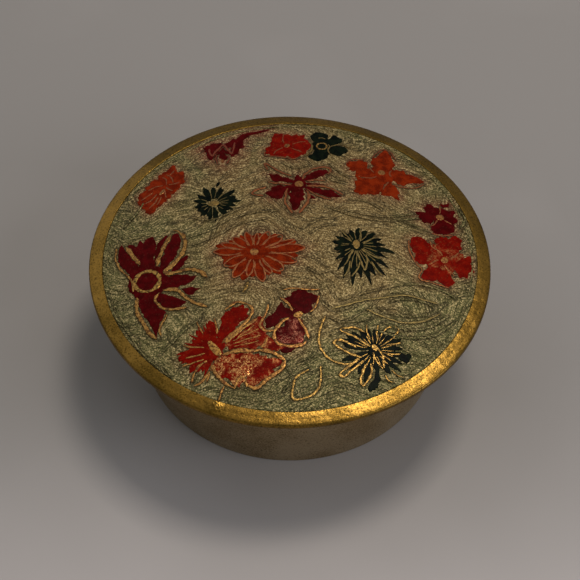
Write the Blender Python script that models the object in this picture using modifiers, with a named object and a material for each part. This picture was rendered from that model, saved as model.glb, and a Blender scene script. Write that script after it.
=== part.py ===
"""A round brass box whose low domed lid is inlaid with enamel flowers between brass wires.

Run it with blender --background --python part.py, or from Blender's text editor.
Lengths are in metres, +Z is up, and the origin is the middle of the foot.
"""

import math
from dataclasses import dataclass

import bmesh
import bpy

MM = 0.001

# Clearance between two pieces that touch on the real box.
GAP = 0.3 * MM

# Base: a tapered wall, open at the top, with a floor disc held on a ledge.
FOOT_RADIUS = 38.4 * MM
BASE_HEIGHT = 30.7 * MM
WALL_THICKNESS = 1.6 * MM
MOUTH_THICKNESS = 2.2 * MM
FOOT_CHAMFER = 0.4 * MM
LEDGE_WIDTH = 1.3 * MM
LEDGE_HEIGHT = 1.5 * MM
FLOOR_THICKNESS = 1.8 * MM

# Lid: a domed plate that overhangs the mouth, with a collar under it that drops inside.
LID_RADIUS = 50.0 * MM
LID_OVERHANG = 6.5 * MM
LID_EDGE_THICKNESS = 1.2 * MM
LID_EDGE_CHAMFER = 0.3 * MM
CROWN_RISE = 5.6 * MM
RIM_WIDTH = 3.7 * MM
RIM_GROOVE_INSET = 1.5 * MM
RIM_GROOVE_WIDTH = 0.5 * MM
RIM_GROOVE_DEPTH = 0.2 * MM
PLATE_THICKNESS = 1.2 * MM
UNDERCUT_STEP = 0.8 * MM
COLLAR_THICKNESS = 1.2 * MM
COLLAR_DEPTH = 5.0 * MM
COLLAR_CHAMFER = 0.3 * MM
SEAT_RUNOUT = 1.0 * MM

# Inlay: how deep the enamel field is sunk, and how each kind of piece stands to the dome.
FIELD_DEPTH = 1.25 * MM
GROUND_BELOW_DOME = 0.12 * MM
PETALS_BELOW_DOME = 0.06 * MM
WIRE_ABOVE_DOME = 0.06 * MM
WIRE_WIDTH = 0.55 * MM
HUB_WALL = 0.5 * MM
EYE_RING_WIDTH = 1.3 * MM
FINE_WIRE_RADIUS = 0.3 * MM
FINE_WIRE_BELOW_DOME = 0.1 * MM

# Mesh fineness.
SEGMENTS = 48
CENTRE_SIDES = 10
RAY_STEP_DEGREES = 2
ARC_STEP_DEGREES = 30
RING_SPACING = 10.5 * MM
WIRE_POINT_SPACING = 2.5 * MM
OUTLINE_TOLERANCE = 0.2 * MM
WIRE_BEVEL_RESOLUTION = 1
CUTTER_OVERRUN = 1.0 * MM
WELD_DISTANCE = 0.0001 * MM
SMOOTH_ANGLE = math.radians(30)

# Sizes that follow from the ones above.
FIELD_RADIUS = LID_RADIUS - RIM_WIDTH
MOUTH_RADIUS = LID_RADIUS - LID_OVERHANG
SEAT_RADIUS = MOUTH_RADIUS - MOUTH_THICKNESS
SEAT_DEPTH = COLLAR_DEPTH + SEAT_RUNOUT
COLLAR_RADIUS = SEAT_RADIUS - GAP
UNDERCUT_RADIUS = COLLAR_RADIUS - COLLAR_THICKNESS - GAP
LID_HEIGHT = BASE_HEIGHT + GAP
CROWN_HEIGHT = LID_EDGE_THICKNESS + CROWN_RISE
INLAY_BOTTOM = GAP - FIELD_DEPTH

# Borders round a flower's petals: to its web of wire, to the web's outside, to the ground.
WEB_INNER_BORDER = GAP + OUTLINE_TOLERANCE / 2
WEB_OUTER_BORDER = WEB_INNER_BORDER + WIRE_WIDTH
POCKET_BORDER = WEB_OUTER_BORDER + GAP

# Petal outlines: the width along a petal is t ** root * (1 - t) ** tip, with t from 0 to 1.
POINTED_SHARES = (0.75, 0.85)
OVAL_SHARES = (0.6, 0.5)
ROUND_SHARES = (0.95, 0.35)


@dataclass(frozen=True)
class Flower:
    """One flower of the inlay. Every share is a share of the enamel field's radius.

    petal_shares holds (angle in degrees from +X, length, half width) for each petal.
    centre_shares holds the half length and half width of the brass piece in the middle.
    """

    name: str
    enamel: str
    place_share: tuple
    centre_shares: tuple
    petal_form_shares: tuple
    petal_shares: tuple
    centre_angle: float = 0.0
    ringed: bool = False


def oval_head(count, long_share, short_share, width_share, turn):
    """Petals evenly spaced round a flower head, their tips on an ellipse."""
    petals = []
    for index in range(count):
        angle = 360.0 * index / count
        along = math.cos(math.radians(angle)) / long_share
        across = math.sin(math.radians(angle)) / short_share
        petals.append((angle + turn, 1.0 / math.hypot(along, across), width_share))
    return tuple(petals)


def narrow_petals(width_share, tips):
    """Petals of one width, from (angle, length) pairs."""
    return tuple((angle, length_share, width_share) for angle, length_share in tips)


FLOWERS = (
    Flower(
        name="crimson_lily",
        enamel="crimson_enamel",
        place_share=(-0.747, -0.201),
        centre_shares=(0.078, 0.078),
        petal_form_shares=POINTED_SHARES,
        petal_shares=(
            (119, 0.313, 0.056),
            (92, 0.298, 0.065),
            (66, 0.352, 0.052),
            (31, 0.235, 0.022),
            (-2, 0.266, 0.041),
            (-35, 0.270, 0.041),
            (-79, 0.352, 0.067),
        ),
        ringed=True,
    ),
    Flower(
        name="orange_aster",
        enamel="orange_enamel",
        place_share=(-0.708, 0.449),
        centre_shares=(0.028, 0.015),
        petal_form_shares=OVAL_SHARES,
        petal_shares=oval_head(12, 0.190, 0.097, 0.024, 60),
        centre_angle=60,
    ),
    Flower(
        name="crimson_carnation",
        enamel="crimson_enamel",
        place_share=(-0.378, 0.702),
        centre_shares=(0.039, 0.019),
        petal_form_shares=POINTED_SHARES,
        petal_shares=(
            (153, 0.145, 0.039),
            (120, 0.136, 0.037),
            (87, 0.140, 0.037),
            (46, 0.270, 0.037),
            (10, 0.121, 0.032),
        ),
        centre_angle=-90,
    ),
    Flower(
        name="dark_daisy",
        enamel="green_enamel",
        place_share=(-0.417, 0.320),
        centre_shares=(0.037, 0.022),
        petal_form_shares=OVAL_SHARES,
        petal_shares=narrow_petals(
            0.016,
            (
                (114, 0.134),
                (92, 0.123),
                (68, 0.132),
                (40, 0.145),
                (14, 0.134),
                (-12, 0.123),
                (-48, 0.114),
                (-78, 0.123),
                (-102, 0.121),
                (-130, 0.104),
                (-172, 0.099),
                (162, 0.112),
                (138, 0.112),
            ),
        ),
    ),
    Flower(
        name="scarlet_primrose",
        enamel="red_enamel",
        place_share=(-0.024, 0.782),
        centre_shares=(0.024, 0.024),
        petal_form_shares=ROUND_SHARES,
        petal_shares=(
            (0, 0.093, 0.039),
            (68, 0.121, 0.045),
            (120, 0.130, 0.050),
            (198, 0.127, 0.056),
            (-66, 0.117, 0.045),
        ),
    ),
    Flower(
        name="green_primrose",
        enamel="green_enamel",
        place_share=(0.194, 0.784),
        centre_shares=(0.037, 0.037),
        petal_form_shares=ROUND_SHARES,
        petal_shares=(
            (96, 0.114, 0.043),
            (40, 0.117, 0.041),
            (-16, 0.134, 0.043),
            (-92, 0.121, 0.048),
        ),
    ),
    Flower(
        name="crimson_star",
        enamel="crimson_enamel",
        place_share=(0.050, 0.456),
        centre_shares=(0.030, 0.030),
        petal_form_shares=POINTED_SHARES,
        petal_shares=(
            (38, 0.203, 0.041),
            (-21, 0.251, 0.037),
            (-98, 0.218, 0.041),
            (211, 0.210, 0.050),
            (163, 0.184, 0.030),
            (94, 0.080, 0.019),
        ),
    ),
    Flower(
        name="orange_star",
        enamel="orange_enamel",
        place_share=(0.492, 0.553),
        centre_shares=(0.022, 0.022),
        petal_form_shares=OVAL_SHARES,
        petal_shares=(
            (80, 0.214, 0.060),
            (-2, 0.242, 0.058),
            (-62, 0.201, 0.050),
            (232, 0.203, 0.067),
            (143, 0.180, 0.050),
        ),
    ),
    Flower(
        name="crimson_violet",
        enamel="crimson_enamel",
        place_share=(0.808, 0.255),
        centre_shares=(0.024, 0.024),
        petal_form_shares=ROUND_SHARES,
        petal_shares=(
            (190, 0.117, 0.048),
            (126, 0.104, 0.039),
            (70, 0.108, 0.022),
            (28, 0.095, 0.045),
            (-78, 0.098, 0.052),
        ),
    ),
    Flower(
        name="scarlet_hibiscus",
        enamel="red_enamel",
        place_share=(0.812, -0.054),
        centre_shares=(0.032, 0.032),
        petal_form_shares=ROUND_SHARES,
        petal_shares=(
            (164, 0.177, 0.065),
            (82, 0.131, 0.063),
            (-14, 0.136, 0.063),
            (250, 0.177, 0.067),
        ),
    ),
    Flower(
        name="orange_chrysanthemum",
        enamel="orange_enamel",
        place_share=(-0.181, -0.043),
        centre_shares=(0.022, 0.022),
        petal_form_shares=OVAL_SHARES,
        petal_shares=narrow_petals(
            0.026,
            (
                (4, 0.263),
                (24, 0.205),
                (48, 0.184),
                (70, 0.160),
                (94, 0.140),
                (120, 0.149),
                (148, 0.162),
                (172, 0.220),
                (196, 0.186),
                (220, 0.184),
                (243, 0.179),
                (266, 0.177),
                (289, 0.186),
                (312, 0.205),
                (338, 0.253),
            ),
        ),
    ),
    Flower(
        name="green_chrysanthemum",
        enamel="green_enamel",
        place_share=(0.352, 0.011),
        centre_shares=(0.032, 0.016),
        petal_form_shares=OVAL_SHARES,
        petal_shares=narrow_petals(
            0.019,
            (
                (172, 0.134),
                (200, 0.136),
                (145, 0.110),
                (120, 0.119),
                (91, 0.112),
                (62, 0.112),
                (36, 0.136),
                (8, 0.145),
                (-16, 0.205),
                (-42, 0.225),
                (-61, 0.257),
                (-80, 0.274),
                (-99, 0.259),
                (-118, 0.205),
                (-140, 0.130),
            ),
        ),
        centre_angle=90,
    ),
    Flower(
        name="red_poppy",
        enamel="red_enamel",
        place_share=(-0.382, -0.639),
        centre_shares=(0.056, 0.026),
        petal_form_shares=OVAL_SHARES,
        petal_shares=(
            (60, 0.281, 0.060),
            (36, 0.255, 0.050),
            (6, 0.238, 0.037),
            (-18, 0.335, 0.048),
            (-48, 0.311, 0.065),
            (-112, 0.151, 0.019),
            (-134, 0.181, 0.024),
            (-163, 0.199, 0.028),
            (159, 0.119, 0.022),
            (132, 0.127, 0.024),
            (102, 0.164, 0.022),
        ),
        centre_angle=-60,
    ),
    Flower(
        name="crimson_pansy",
        enamel="crimson_enamel",
        place_share=(0.045, -0.445),
        centre_shares=(0.019, 0.019),
        petal_form_shares=ROUND_SHARES,
        petal_shares=(
            (70, 0.160, 0.060),
            (-106, 0.181, 0.060),
            (178, 0.147, 0.052),
        ),
    ),
    Flower(
        name="front_chrysanthemum",
        enamel="green_enamel",
        place_share=(0.428, -0.648),
        centre_shares=(0.026, 0.015),
        petal_form_shares=OVAL_SHARES,
        petal_shares=narrow_petals(
            0.024,
            (
                (174, 0.216),
                (150, 0.197),
                (124, 0.160),
                (94, 0.121),
                (60, 0.134),
                (30, 0.149),
                (4, 0.134),
                (-13, 0.186),
                (-36, 0.151),
                (-60, 0.162),
                (-84, 0.184),
                (-108, 0.203),
                (-137, 0.212),
                (-165, 0.151),
            ),
        ),
        centre_angle=-60,
    ),
)

# Fine wires that draw a bud, leaves and a stem in the ground, as shares of the field's radius.
FINE_WIRE_SHARES = {
    "bud_wire": (
        (0.097, -0.769),
        (0.032, -0.812),
        (0.013, -0.877),
        (0.019, -0.935),
        (0.104, -0.914),
        (0.149, -0.855),
        (0.156, -0.752),
    ),
    "upper_leaf_wire": (
        (0.216, -0.415),
        (0.324, -0.374),
        (0.454, -0.337),
        (0.605, -0.307),
        (0.767, -0.343),
    ),
    "lower_leaf_wire": (
        (0.395, -0.408),
        (0.475, -0.447),
        (0.583, -0.475),
        (0.691, -0.458),
        (0.778, -0.402),
    ),
    "stem_wire": (
        (0.184, -0.460),
        (0.153, -0.540),
        (0.149, -0.626),
        (0.181, -0.691),
        (0.231, -0.728),
    ),
    "stub_wire": (
        (-0.222, -0.266),
        (-0.231, -0.305),
    ),
}

FINISHES = {
    "rim_brass": ((0.47, 0.29, 0.075), 0.34, 1.0),
    "wall_brass": ((0.20, 0.135, 0.062), 0.46, 1.0),
    "inner_brass": ((0.42, 0.29, 0.11), 0.42, 1.0),
    "wire_brass": ((0.60, 0.40, 0.16), 0.30, 1.0),
    "ground_enamel": ((0.150, 0.145, 0.075), 0.38, 0.0),
    "crimson_enamel": ((0.085, 0.004, 0.006), 0.30, 0.0),
    "red_enamel": ((0.300, 0.015, 0.006), 0.30, 0.0),
    "orange_enamel": ((0.340, 0.045, 0.010), 0.32, 0.0),
    "green_enamel": ((0.008, 0.020, 0.015), 0.30, 0.0),
}


def clear_scene():
    """Remove every object that the scene starts with."""
    for old in list(bpy.data.objects):
        bpy.data.objects.remove(old)


def new_collection(name):
    """Make a collection in the scene."""
    collection = bpy.data.collections.new(name)
    bpy.context.scene.collection.children.link(collection)
    return collection


def make_finish(name):
    """Make a material with one Principled BSDF from the table of finishes."""
    colour, roughness, metallic = FINISHES[name]
    material = bpy.data.materials.new(name)
    material.use_nodes = True
    shader = material.node_tree.nodes["Principled BSDF"]
    shader.inputs["Base Color"].default_value = (*colour, 1.0)
    shader.inputs["Roughness"].default_value = roughness
    shader.inputs["Metallic"].default_value = metallic
    return material


def cap_height(distance, edge_radius, rise):
    """Height of a spherical cap above its edge plane, at a distance from its axis."""
    sphere_radius = (edge_radius**2 + rise**2) / (2 * rise)
    return math.sqrt(sphere_radius**2 - distance**2) - (sphere_radius - rise)


def dome_height(distance):
    """Height of the lid's domed top above its seat on the mouth."""
    return LID_EDGE_THICKNESS + cap_height(distance, LID_RADIUS, CROWN_RISE)


def under_height(distance):
    """Height of the lid plate's hollow underside above its seat on the mouth."""
    crown_under = CROWN_HEIGHT - FIELD_DEPTH - PLATE_THICKNESS
    return UNDERCUT_STEP + cap_height(distance, UNDERCUT_RADIUS, crown_under - UNDERCUT_STEP)


def wall_radius(height):
    """Outer radius of the tapered wall at a height above the foot."""
    return FOOT_RADIUS + (MOUTH_RADIUS - FOOT_RADIUS) * height / BASE_HEIGHT


def ring_radii(outer_radius):
    """Radii from the axis to an outer radius, about one ring spacing apart."""
    count = max(2, round(outer_radius / RING_SPACING))
    return [outer_radius * index / count for index in range(count + 1)]


class Maker:
    """Places pieces in the box's collection, on the base or on the lid's lifting axis."""

    def __init__(self):
        self.pieces = new_collection("enamelled_brass_box")
        self.cutters = new_collection("cutters")
        self.finishes = {name: make_finish(name) for name in FINISHES}
        self.lid_axis = bpy.data.objects.new("lid_axis", None)
        self.lid_axis.location = (0, 0, LID_HEIGHT)
        self.pieces.objects.link(self.lid_axis)

    def place(self, name, mesh, finish, parent=None, location=(0, 0, 0)):
        """Make an object from a mesh, with its finish, under its parent."""
        piece = bpy.data.objects.new(name, mesh)
        piece.location = location
        piece.parent = parent
        mesh.materials.append(self.finishes[finish])
        self.pieces.objects.link(piece)
        return piece

    def place_cutter(self, name, mesh, location=(0, 0, 0)):
        """Make a hidden cutter from a mesh, on the lid's axis."""
        cutter = bpy.data.objects.new(name, mesh)
        cutter.location = location
        cutter.parent = self.lid_axis
        cutter.hide_render = True
        cutter.display_type = "WIRE"
        self.cutters.objects.link(cutter)
        return cutter


def turned_mesh(name, profile, closed):
    """Turn a profile of (radius, height) points about Z. It runs down its outer side."""
    mesh = bpy.data.meshes.new(name)
    edges = [(index, index + 1) for index in range(len(profile) - 1)]
    if closed:
        edges.append((len(profile) - 1, 0))
    mesh.from_pydata([(radius, 0, height) for radius, height in profile], edges, [])
    guide = bpy.data.objects.new(name, mesh)
    screw = guide.modifiers.new("turn", "SCREW")
    screw.angle = math.tau
    screw.steps = SEGMENTS
    screw.render_steps = SEGMENTS
    screw.use_merge_vertices = True
    screw.merge_threshold = WELD_DISTANCE
    turned = mesh_of(guide)
    bpy.data.meshes.remove(mesh)
    return turned


def mesh_of(guide):
    """Turn a guide object, with its modifiers, into one welded mesh, and remove the guide."""
    bpy.context.scene.collection.objects.link(guide)
    graph = bpy.context.evaluated_depsgraph_get()
    mesh = bpy.data.meshes.new_from_object(guide.evaluated_get(graph))
    mesh.name = guide.name
    bpy.data.objects.remove(guide)
    work = bmesh.new()
    work.from_mesh(mesh)
    bmesh.ops.remove_doubles(work, verts=work.verts, dist=WELD_DISTANCE)
    work.to_mesh(mesh)
    work.free()
    return mesh


def shade_round(piece):
    """Shade a piece smooth, with its real corners kept sharp."""
    piece.data.shade_smooth()
    piece.data.set_sharp_from_angle(angle=SMOOTH_ANGLE)


def laid_prism(name, outlines, bottom, top, centre=(0, 0)):
    """Make a plate with upright sides that follows the dome.

    The outlines are lists of points round the centre, the outer one first and then its
    holes. The bottom and the top are heights above the dome. The mesh's own origin lies
    on the dome at the centre.
    """
    curve = bpy.data.curves.new(name, "CURVE")
    curve.dimensions = "2D"
    curve.fill_mode = "BOTH"
    curve.extrude = (top - bottom) / 2
    for outline in outlines:
        spline = curve.splines.new("POLY")
        spline.points.add(len(outline) - 1)
        for point, (x, y) in zip(spline.points, outline):
            point.co = (x, y, 0, 1)
        spline.use_cyclic_u = True
    mesh = mesh_of(bpy.data.objects.new(name, curve))
    bpy.data.curves.remove(curve)
    centre_height = dome_height(math.hypot(*centre))
    for vertex in mesh.vertices:
        distance = math.hypot(centre[0] + vertex.co.x, centre[1] + vertex.co.y)
        vertex.co.z += (top + bottom) / 2 + dome_height(distance) - centre_height
    return mesh


def tube_mesh(name, points, radius):
    """Make a closed tube along points."""
    curve = bpy.data.curves.new(name, "CURVE")
    curve.dimensions = "3D"
    curve.bevel_depth = radius
    curve.bevel_resolution = WIRE_BEVEL_RESOLUTION
    curve.use_fill_caps = True
    spline = curve.splines.new("POLY")
    spline.points.add(len(points) - 1)
    for point, place in zip(spline.points, points):
        point.co = (*place, 1)
    mesh = mesh_of(bpy.data.objects.new(name, curve))
    bpy.data.curves.remove(curve)
    return mesh


def petal_reach(turn, length, half_width, form_shares):
    """Distance from a flower's centre to a petal's edge, along a ray turned off its axis."""
    turn = abs(math.remainder(turn, math.tau))
    if turn >= math.pi / 2:
        return 0.0
    root, tip = form_shares
    widest = root / (root + tip)
    peak = widest**root * (1 - widest) ** tip
    near, far = 0.0, 1.0
    for _ in range(40):
        middle = (near + far) / 2
        edge = half_width * middle**root * (1 - middle) ** tip / peak
        if edge > middle * length * math.tan(turn):
            near = middle
        else:
            far = middle
    return near * length / math.cos(turn)


class FlowerHead:
    """The outlines of one flower, worked out from its table of petals."""

    def __init__(self, flower):
        self.flower = flower
        self.centre = tuple(FIELD_RADIUS * share for share in flower.place_share)
        self.half_length = FIELD_RADIUS * flower.centre_shares[0]
        self.half_width = FIELD_RADIUS * flower.centre_shares[1]
        self.hub_radius = self.half_length + GAP + HUB_WALL
        self.petal_rays = self.thin_rays(self.petal_radius)
        self.petals = ray_points(self.petal_rays, self.petal_radius)
        self.wire_rays = self.thin_rays(lambda angle: self.grown_radius(angle, WEB_OUTER_BORDER))

    def petal_radius(self, angle):
        """Distance from the centre to the edge of the petals or the hub, at an angle."""
        reaches = [self.hub_radius]
        for petal_angle, length_share, width_share in self.flower.petal_shares:
            length = FIELD_RADIUS * length_share
            half_width = FIELD_RADIUS * width_share
            turn = angle - math.radians(petal_angle)
            reaches.append(petal_reach(turn, length, half_width, self.flower.petal_form_shares))
        return max(reaches)

    def grown_radius(self, angle, border):
        """Distance from the centre to the petals' outline with an even border, at an angle."""
        ends = self.petals[1:] + self.petals[:1]
        return max(edge_reach(angle, *edge, border) for edge in zip(self.petals, ends))

    def thin_rays(self, radius_at):
        """Angles at which an outline needs a point, from the first petal's tip round."""
        start = self.flower.petal_shares[0][0]
        tips = [(petal[0] - start) % 360 for petal in self.flower.petal_shares]
        turns = sorted({*range(0, 360, RAY_STEP_DEGREES), *tips, 360})
        angles = [math.radians(start + turn) for turn in turns]
        points = ray_points(angles, radius_at)
        anchors = [index for index, turn in enumerate(turns) if turn % ARC_STEP_DEGREES == 0]
        keep = set()
        for first, last in zip(anchors, anchors[1:]):
            keep |= thin(points, first, last)
        return [angles[index] for index in sorted(keep) if index < len(points) - 1]

    def bordered(self, angles, border):
        """The petals' outline with an even border, as points at some angles."""
        return ray_points(angles, lambda angle: self.grown_radius(angle, border))

    def middle_outline(self, grow):
        """The outline of the brass piece in the flower's middle, grown outwards."""
        turn = math.radians(self.flower.centre_angle)
        points = []
        for index in range(CENTRE_SIDES):
            angle = math.tau * index / CENTRE_SIDES
            along = (self.half_length + grow) * math.cos(angle)
            across = (self.half_width + grow) * math.sin(angle)
            x = along * math.cos(turn) - across * math.sin(turn)
            y = along * math.sin(turn) + across * math.cos(turn)
            points.append((x, y))
        return points


def edge_reach(angle, start, end, border):
    """How far a ray from the centre runs to leave an outline's edge with its border."""
    ray_x, ray_y = math.cos(angle), math.sin(angle)
    reach = 0.0
    aside = ray_x * start[1] - ray_y * start[0]
    if abs(aside) < border:
        reach = ray_x * start[0] + ray_y * start[1] + math.sqrt(border**2 - aside**2)
    edge_x, edge_y = end[0] - start[0], end[1] - start[1]
    length = math.hypot(edge_x, edge_y)
    moved_x = start[0] + border * edge_y / length
    moved_y = start[1] - border * edge_x / length
    turning = ray_x * edge_y - ray_y * edge_x
    if turning > 0:
        t = (moved_x * ray_y - moved_y * ray_x) / turning
        if 0 <= t <= 1:
            reach = max(reach, ray_x * (moved_x + t * edge_x) + ray_y * (moved_y + t * edge_y))
    return reach


def ray_points(angles, radius_at):
    """Points at some angles round a centre, each at the radius that a function gives."""
    points = []
    for angle in angles:
        radius = radius_at(angle)
        points.append((radius * math.cos(angle), radius * math.sin(angle)))
    return points


def thin(points, first, last):
    """Indexes of the points that a run of points needs to keep its shape."""
    (x0, y0), (x1, y1) = points[first], points[last]
    span = math.hypot(x1 - x0, y1 - y0)
    worst, worst_index = 0.0, None
    for index in range(first + 1, last):
        x, y = points[index]
        offset = abs((x1 - x0) * (y - y0) - (y1 - y0) * (x - x0)) / span
        if offset > worst:
            worst, worst_index = offset, index
    if worst <= OUTLINE_TOLERANCE:
        return {first, last}
    return thin(points, first, worst_index) | thin(points, worst_index, last)


def smooth_path(knots):
    """Points along a smooth curve through the knots, about one spacing apart."""
    path = []
    for index in range(len(knots) - 1):
        before = knots[max(index - 1, 0)]
        start, end = knots[index], knots[index + 1]
        after = knots[min(index + 2, len(knots) - 1)]
        length = math.dist(start, end)
        count = max(1, round(length / WIRE_POINT_SPACING))
        for step in range(count):
            t = step / count
            path.append(tuple(spline_value(t, *values) for values in zip(before, start, end, after)))
    path.append(knots[-1])
    return path


def spline_value(t, before, start, end, after):
    """One coordinate of a Catmull-Rom curve between start and end."""
    slope_in = (end - before) / 2
    slope_out = (after - start) / 2
    cubic = 2 * start - 2 * end + slope_in + slope_out
    square = 3 * end - 3 * start - 2 * slope_in - slope_out
    return start + t * (slope_in + t * (square + t * cubic))


def make_base_wall(maker):
    """Tapered wall with a foot ring, a ledge for the floor and a straight seat for the collar."""
    seat_bottom = BASE_HEIGHT - SEAT_DEPTH
    foot_inner = FOOT_RADIUS - WALL_THICKNESS
    profile = [
        (MOUTH_RADIUS, BASE_HEIGHT),
        (wall_radius(FOOT_CHAMFER), FOOT_CHAMFER),
        (FOOT_RADIUS - FOOT_CHAMFER, 0),
        (foot_inner - LEDGE_WIDTH, 0),
        (foot_inner - LEDGE_WIDTH, LEDGE_HEIGHT),
        (wall_radius(LEDGE_HEIGHT) - WALL_THICKNESS, LEDGE_HEIGHT),
        (wall_radius(seat_bottom) - WALL_THICKNESS, seat_bottom),
        (SEAT_RADIUS, seat_bottom),
        (SEAT_RADIUS, BASE_HEIGHT),
    ]
    wall = maker.place("base_wall", turned_mesh("base_wall", profile, closed=True), "wall_brass")
    shade_round(wall)


def make_base_floor(maker):
    """Floor disc that lies on the wall's ledge."""
    bottom = LEDGE_HEIGHT + GAP
    top = bottom + FLOOR_THICKNESS
    radius = min(wall_radius(bottom), wall_radius(top)) - WALL_THICKNESS - GAP
    profile = [(0, top), (radius, top), (radius, bottom), (0, bottom)]
    floor = maker.place("base_floor", turned_mesh("base_floor", profile, closed=False), "inner_brass")
    shade_round(floor)


def make_lid_plate(maker):
    """Domed plate with a sunk field for the enamel, a grooved rim and a hollow underside."""
    groove_outer = LID_RADIUS - RIM_GROOVE_INSET
    groove_inner = groove_outer - RIM_GROOVE_WIDTH
    edge_top = LID_RADIUS - LID_EDGE_CHAMFER
    profile = [(radius, dome_height(radius) - FIELD_DEPTH) for radius in ring_radii(FIELD_RADIUS)]
    profile += [
        (FIELD_RADIUS, dome_height(FIELD_RADIUS)),
        (groove_inner, dome_height(groove_inner)),
        (groove_inner, dome_height(groove_inner) - RIM_GROOVE_DEPTH),
        (groove_outer, dome_height(groove_outer) - RIM_GROOVE_DEPTH),
        (groove_outer, dome_height(groove_outer)),
        (edge_top, dome_height(edge_top)),
        (LID_RADIUS, LID_EDGE_THICKNESS - LID_EDGE_CHAMFER),
        (LID_RADIUS, 0),
        (UNDERCUT_RADIUS, 0),
    ]
    profile += [(radius, under_height(radius)) for radius in reversed(ring_radii(UNDERCUT_RADIUS))]
    mesh = turned_mesh("lid_plate", profile, closed=False)
    shade_round(maker.place("lid_plate", mesh, "rim_brass", maker.lid_axis))


def make_lid_collar(maker):
    """Ring under the lid that drops inside the mouth and keeps the lid in place."""
    inner = COLLAR_RADIUS - COLLAR_THICKNESS
    top = -GAP
    bottom = top - COLLAR_DEPTH
    profile = [
        (COLLAR_RADIUS, top),
        (COLLAR_RADIUS, bottom + COLLAR_CHAMFER),
        (COLLAR_RADIUS - COLLAR_CHAMFER, bottom),
        (inner, bottom),
        (inner, top),
    ]
    mesh = turned_mesh("lid_collar", profile, closed=True)
    shade_round(maker.place("lid_collar", mesh, "inner_brass", maker.lid_axis))


def make_ground(maker):
    """Enamel that fills the sunk field, before the flowers' pockets are cut in it."""
    radii = ring_radii(FIELD_RADIUS - GAP)
    profile = [(radius, dome_height(radius) - GROUND_BELOW_DOME) for radius in radii]
    profile += [(radius, dome_height(radius) + INLAY_BOTTOM) for radius in reversed(radii)]
    mesh = turned_mesh("ground_enamel", profile, closed=False)
    return maker.place("ground_enamel", mesh, "ground_enamel", maker.lid_axis)


def cut(piece, cutter):
    """Cut a piece with a cutter."""
    boolean = piece.modifiers.new(cutter.name, "BOOLEAN")
    boolean.operation = "DIFFERENCE"
    boolean.solver = "EXACT"
    boolean.object = cutter


def make_flower(maker, flower, ground):
    """One flower: its pocket in the ground, its enamel, its web of wire and its middle."""
    head = FlowerHead(flower)
    at_dome = (*head.centre, dome_height(math.hypot(*head.centre)))

    def lay(name, finish, outlines, top):
        mesh = laid_prism(name, outlines, INLAY_BOTTOM, top, head.centre)
        maker.place(name, mesh, finish, maker.lid_axis, at_dome)

    pocket = head.bordered(head.wire_rays, POCKET_BORDER)
    pocket_bottom = -FIELD_DEPTH - CUTTER_OVERRUN
    pocket_mesh = laid_prism("pocket", [pocket], pocket_bottom, CUTTER_OVERRUN, head.centre)
    cut(ground, maker.place_cutter(f"{flower.name}_pocket", pocket_mesh, at_dome))

    petals = [head.petals, head.middle_outline(GAP)]
    lay(f"{flower.name}_enamel", flower.enamel, petals, -PETALS_BELOW_DOME)
    web_outside = head.bordered(head.wire_rays, WEB_OUTER_BORDER)
    web_inside = head.bordered(head.petal_rays, WEB_INNER_BORDER)
    lay(f"{flower.name}_wires", "wire_brass", [web_outside, web_inside], WIRE_ABOVE_DOME)
    middle = [head.middle_outline(0.0)]
    if flower.ringed:
        middle.append(head.middle_outline(-EYE_RING_WIDTH))
        eye = [head.middle_outline(-EYE_RING_WIDTH - GAP)]
        lay(f"{flower.name}_eye", flower.enamel, eye, -PETALS_BELOW_DOME)
    lay(f"{flower.name}_centre", "wire_brass", middle, WIRE_ABOVE_DOME)


def make_fine_wire(maker, name, shares, ground):
    """A round wire let into a groove of the ground."""
    knots = [(FIELD_RADIUS * x_share, FIELD_RADIUS * y_share) for x_share, y_share in shares]
    points = []
    for x, y in smooth_path(knots):
        points.append((x, y, dome_height(math.hypot(x, y)) - FINE_WIRE_BELOW_DOME))
    groove = tube_mesh(f"{name}_groove", points, FINE_WIRE_RADIUS + GAP)
    cut(ground, maker.place_cutter(f"{name}_groove", groove))
    wire = tube_mesh(name, points, FINE_WIRE_RADIUS)
    shade_round(maker.place(name, wire, "wire_brass", maker.lid_axis))


def main():
    """Build the box."""
    clear_scene()
    maker = Maker()
    make_base_wall(maker)
    make_base_floor(maker)
    make_lid_plate(maker)
    make_lid_collar(maker)
    ground = make_ground(maker)
    for flower in FLOWERS:
        make_flower(maker, flower, ground)
    for name, shares in FINE_WIRE_SHARES.items():
        make_fine_wire(maker, name, shares, ground)


main()
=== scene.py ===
"""Looks of the enamelled brass box: fine form and finish of every piece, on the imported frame.

The tables of flowers hold places in the plan of the lid, in millimetres from its middle, with
+X to the right and +Y away from the camera. Everything else is in metres, with +Z up.
"""

import logging
import math
from dataclasses import dataclass, field
from enum import Enum

import bmesh
import bpy
import numpy as np
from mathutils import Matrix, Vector
from mathutils.kdtree import KDTree


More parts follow.
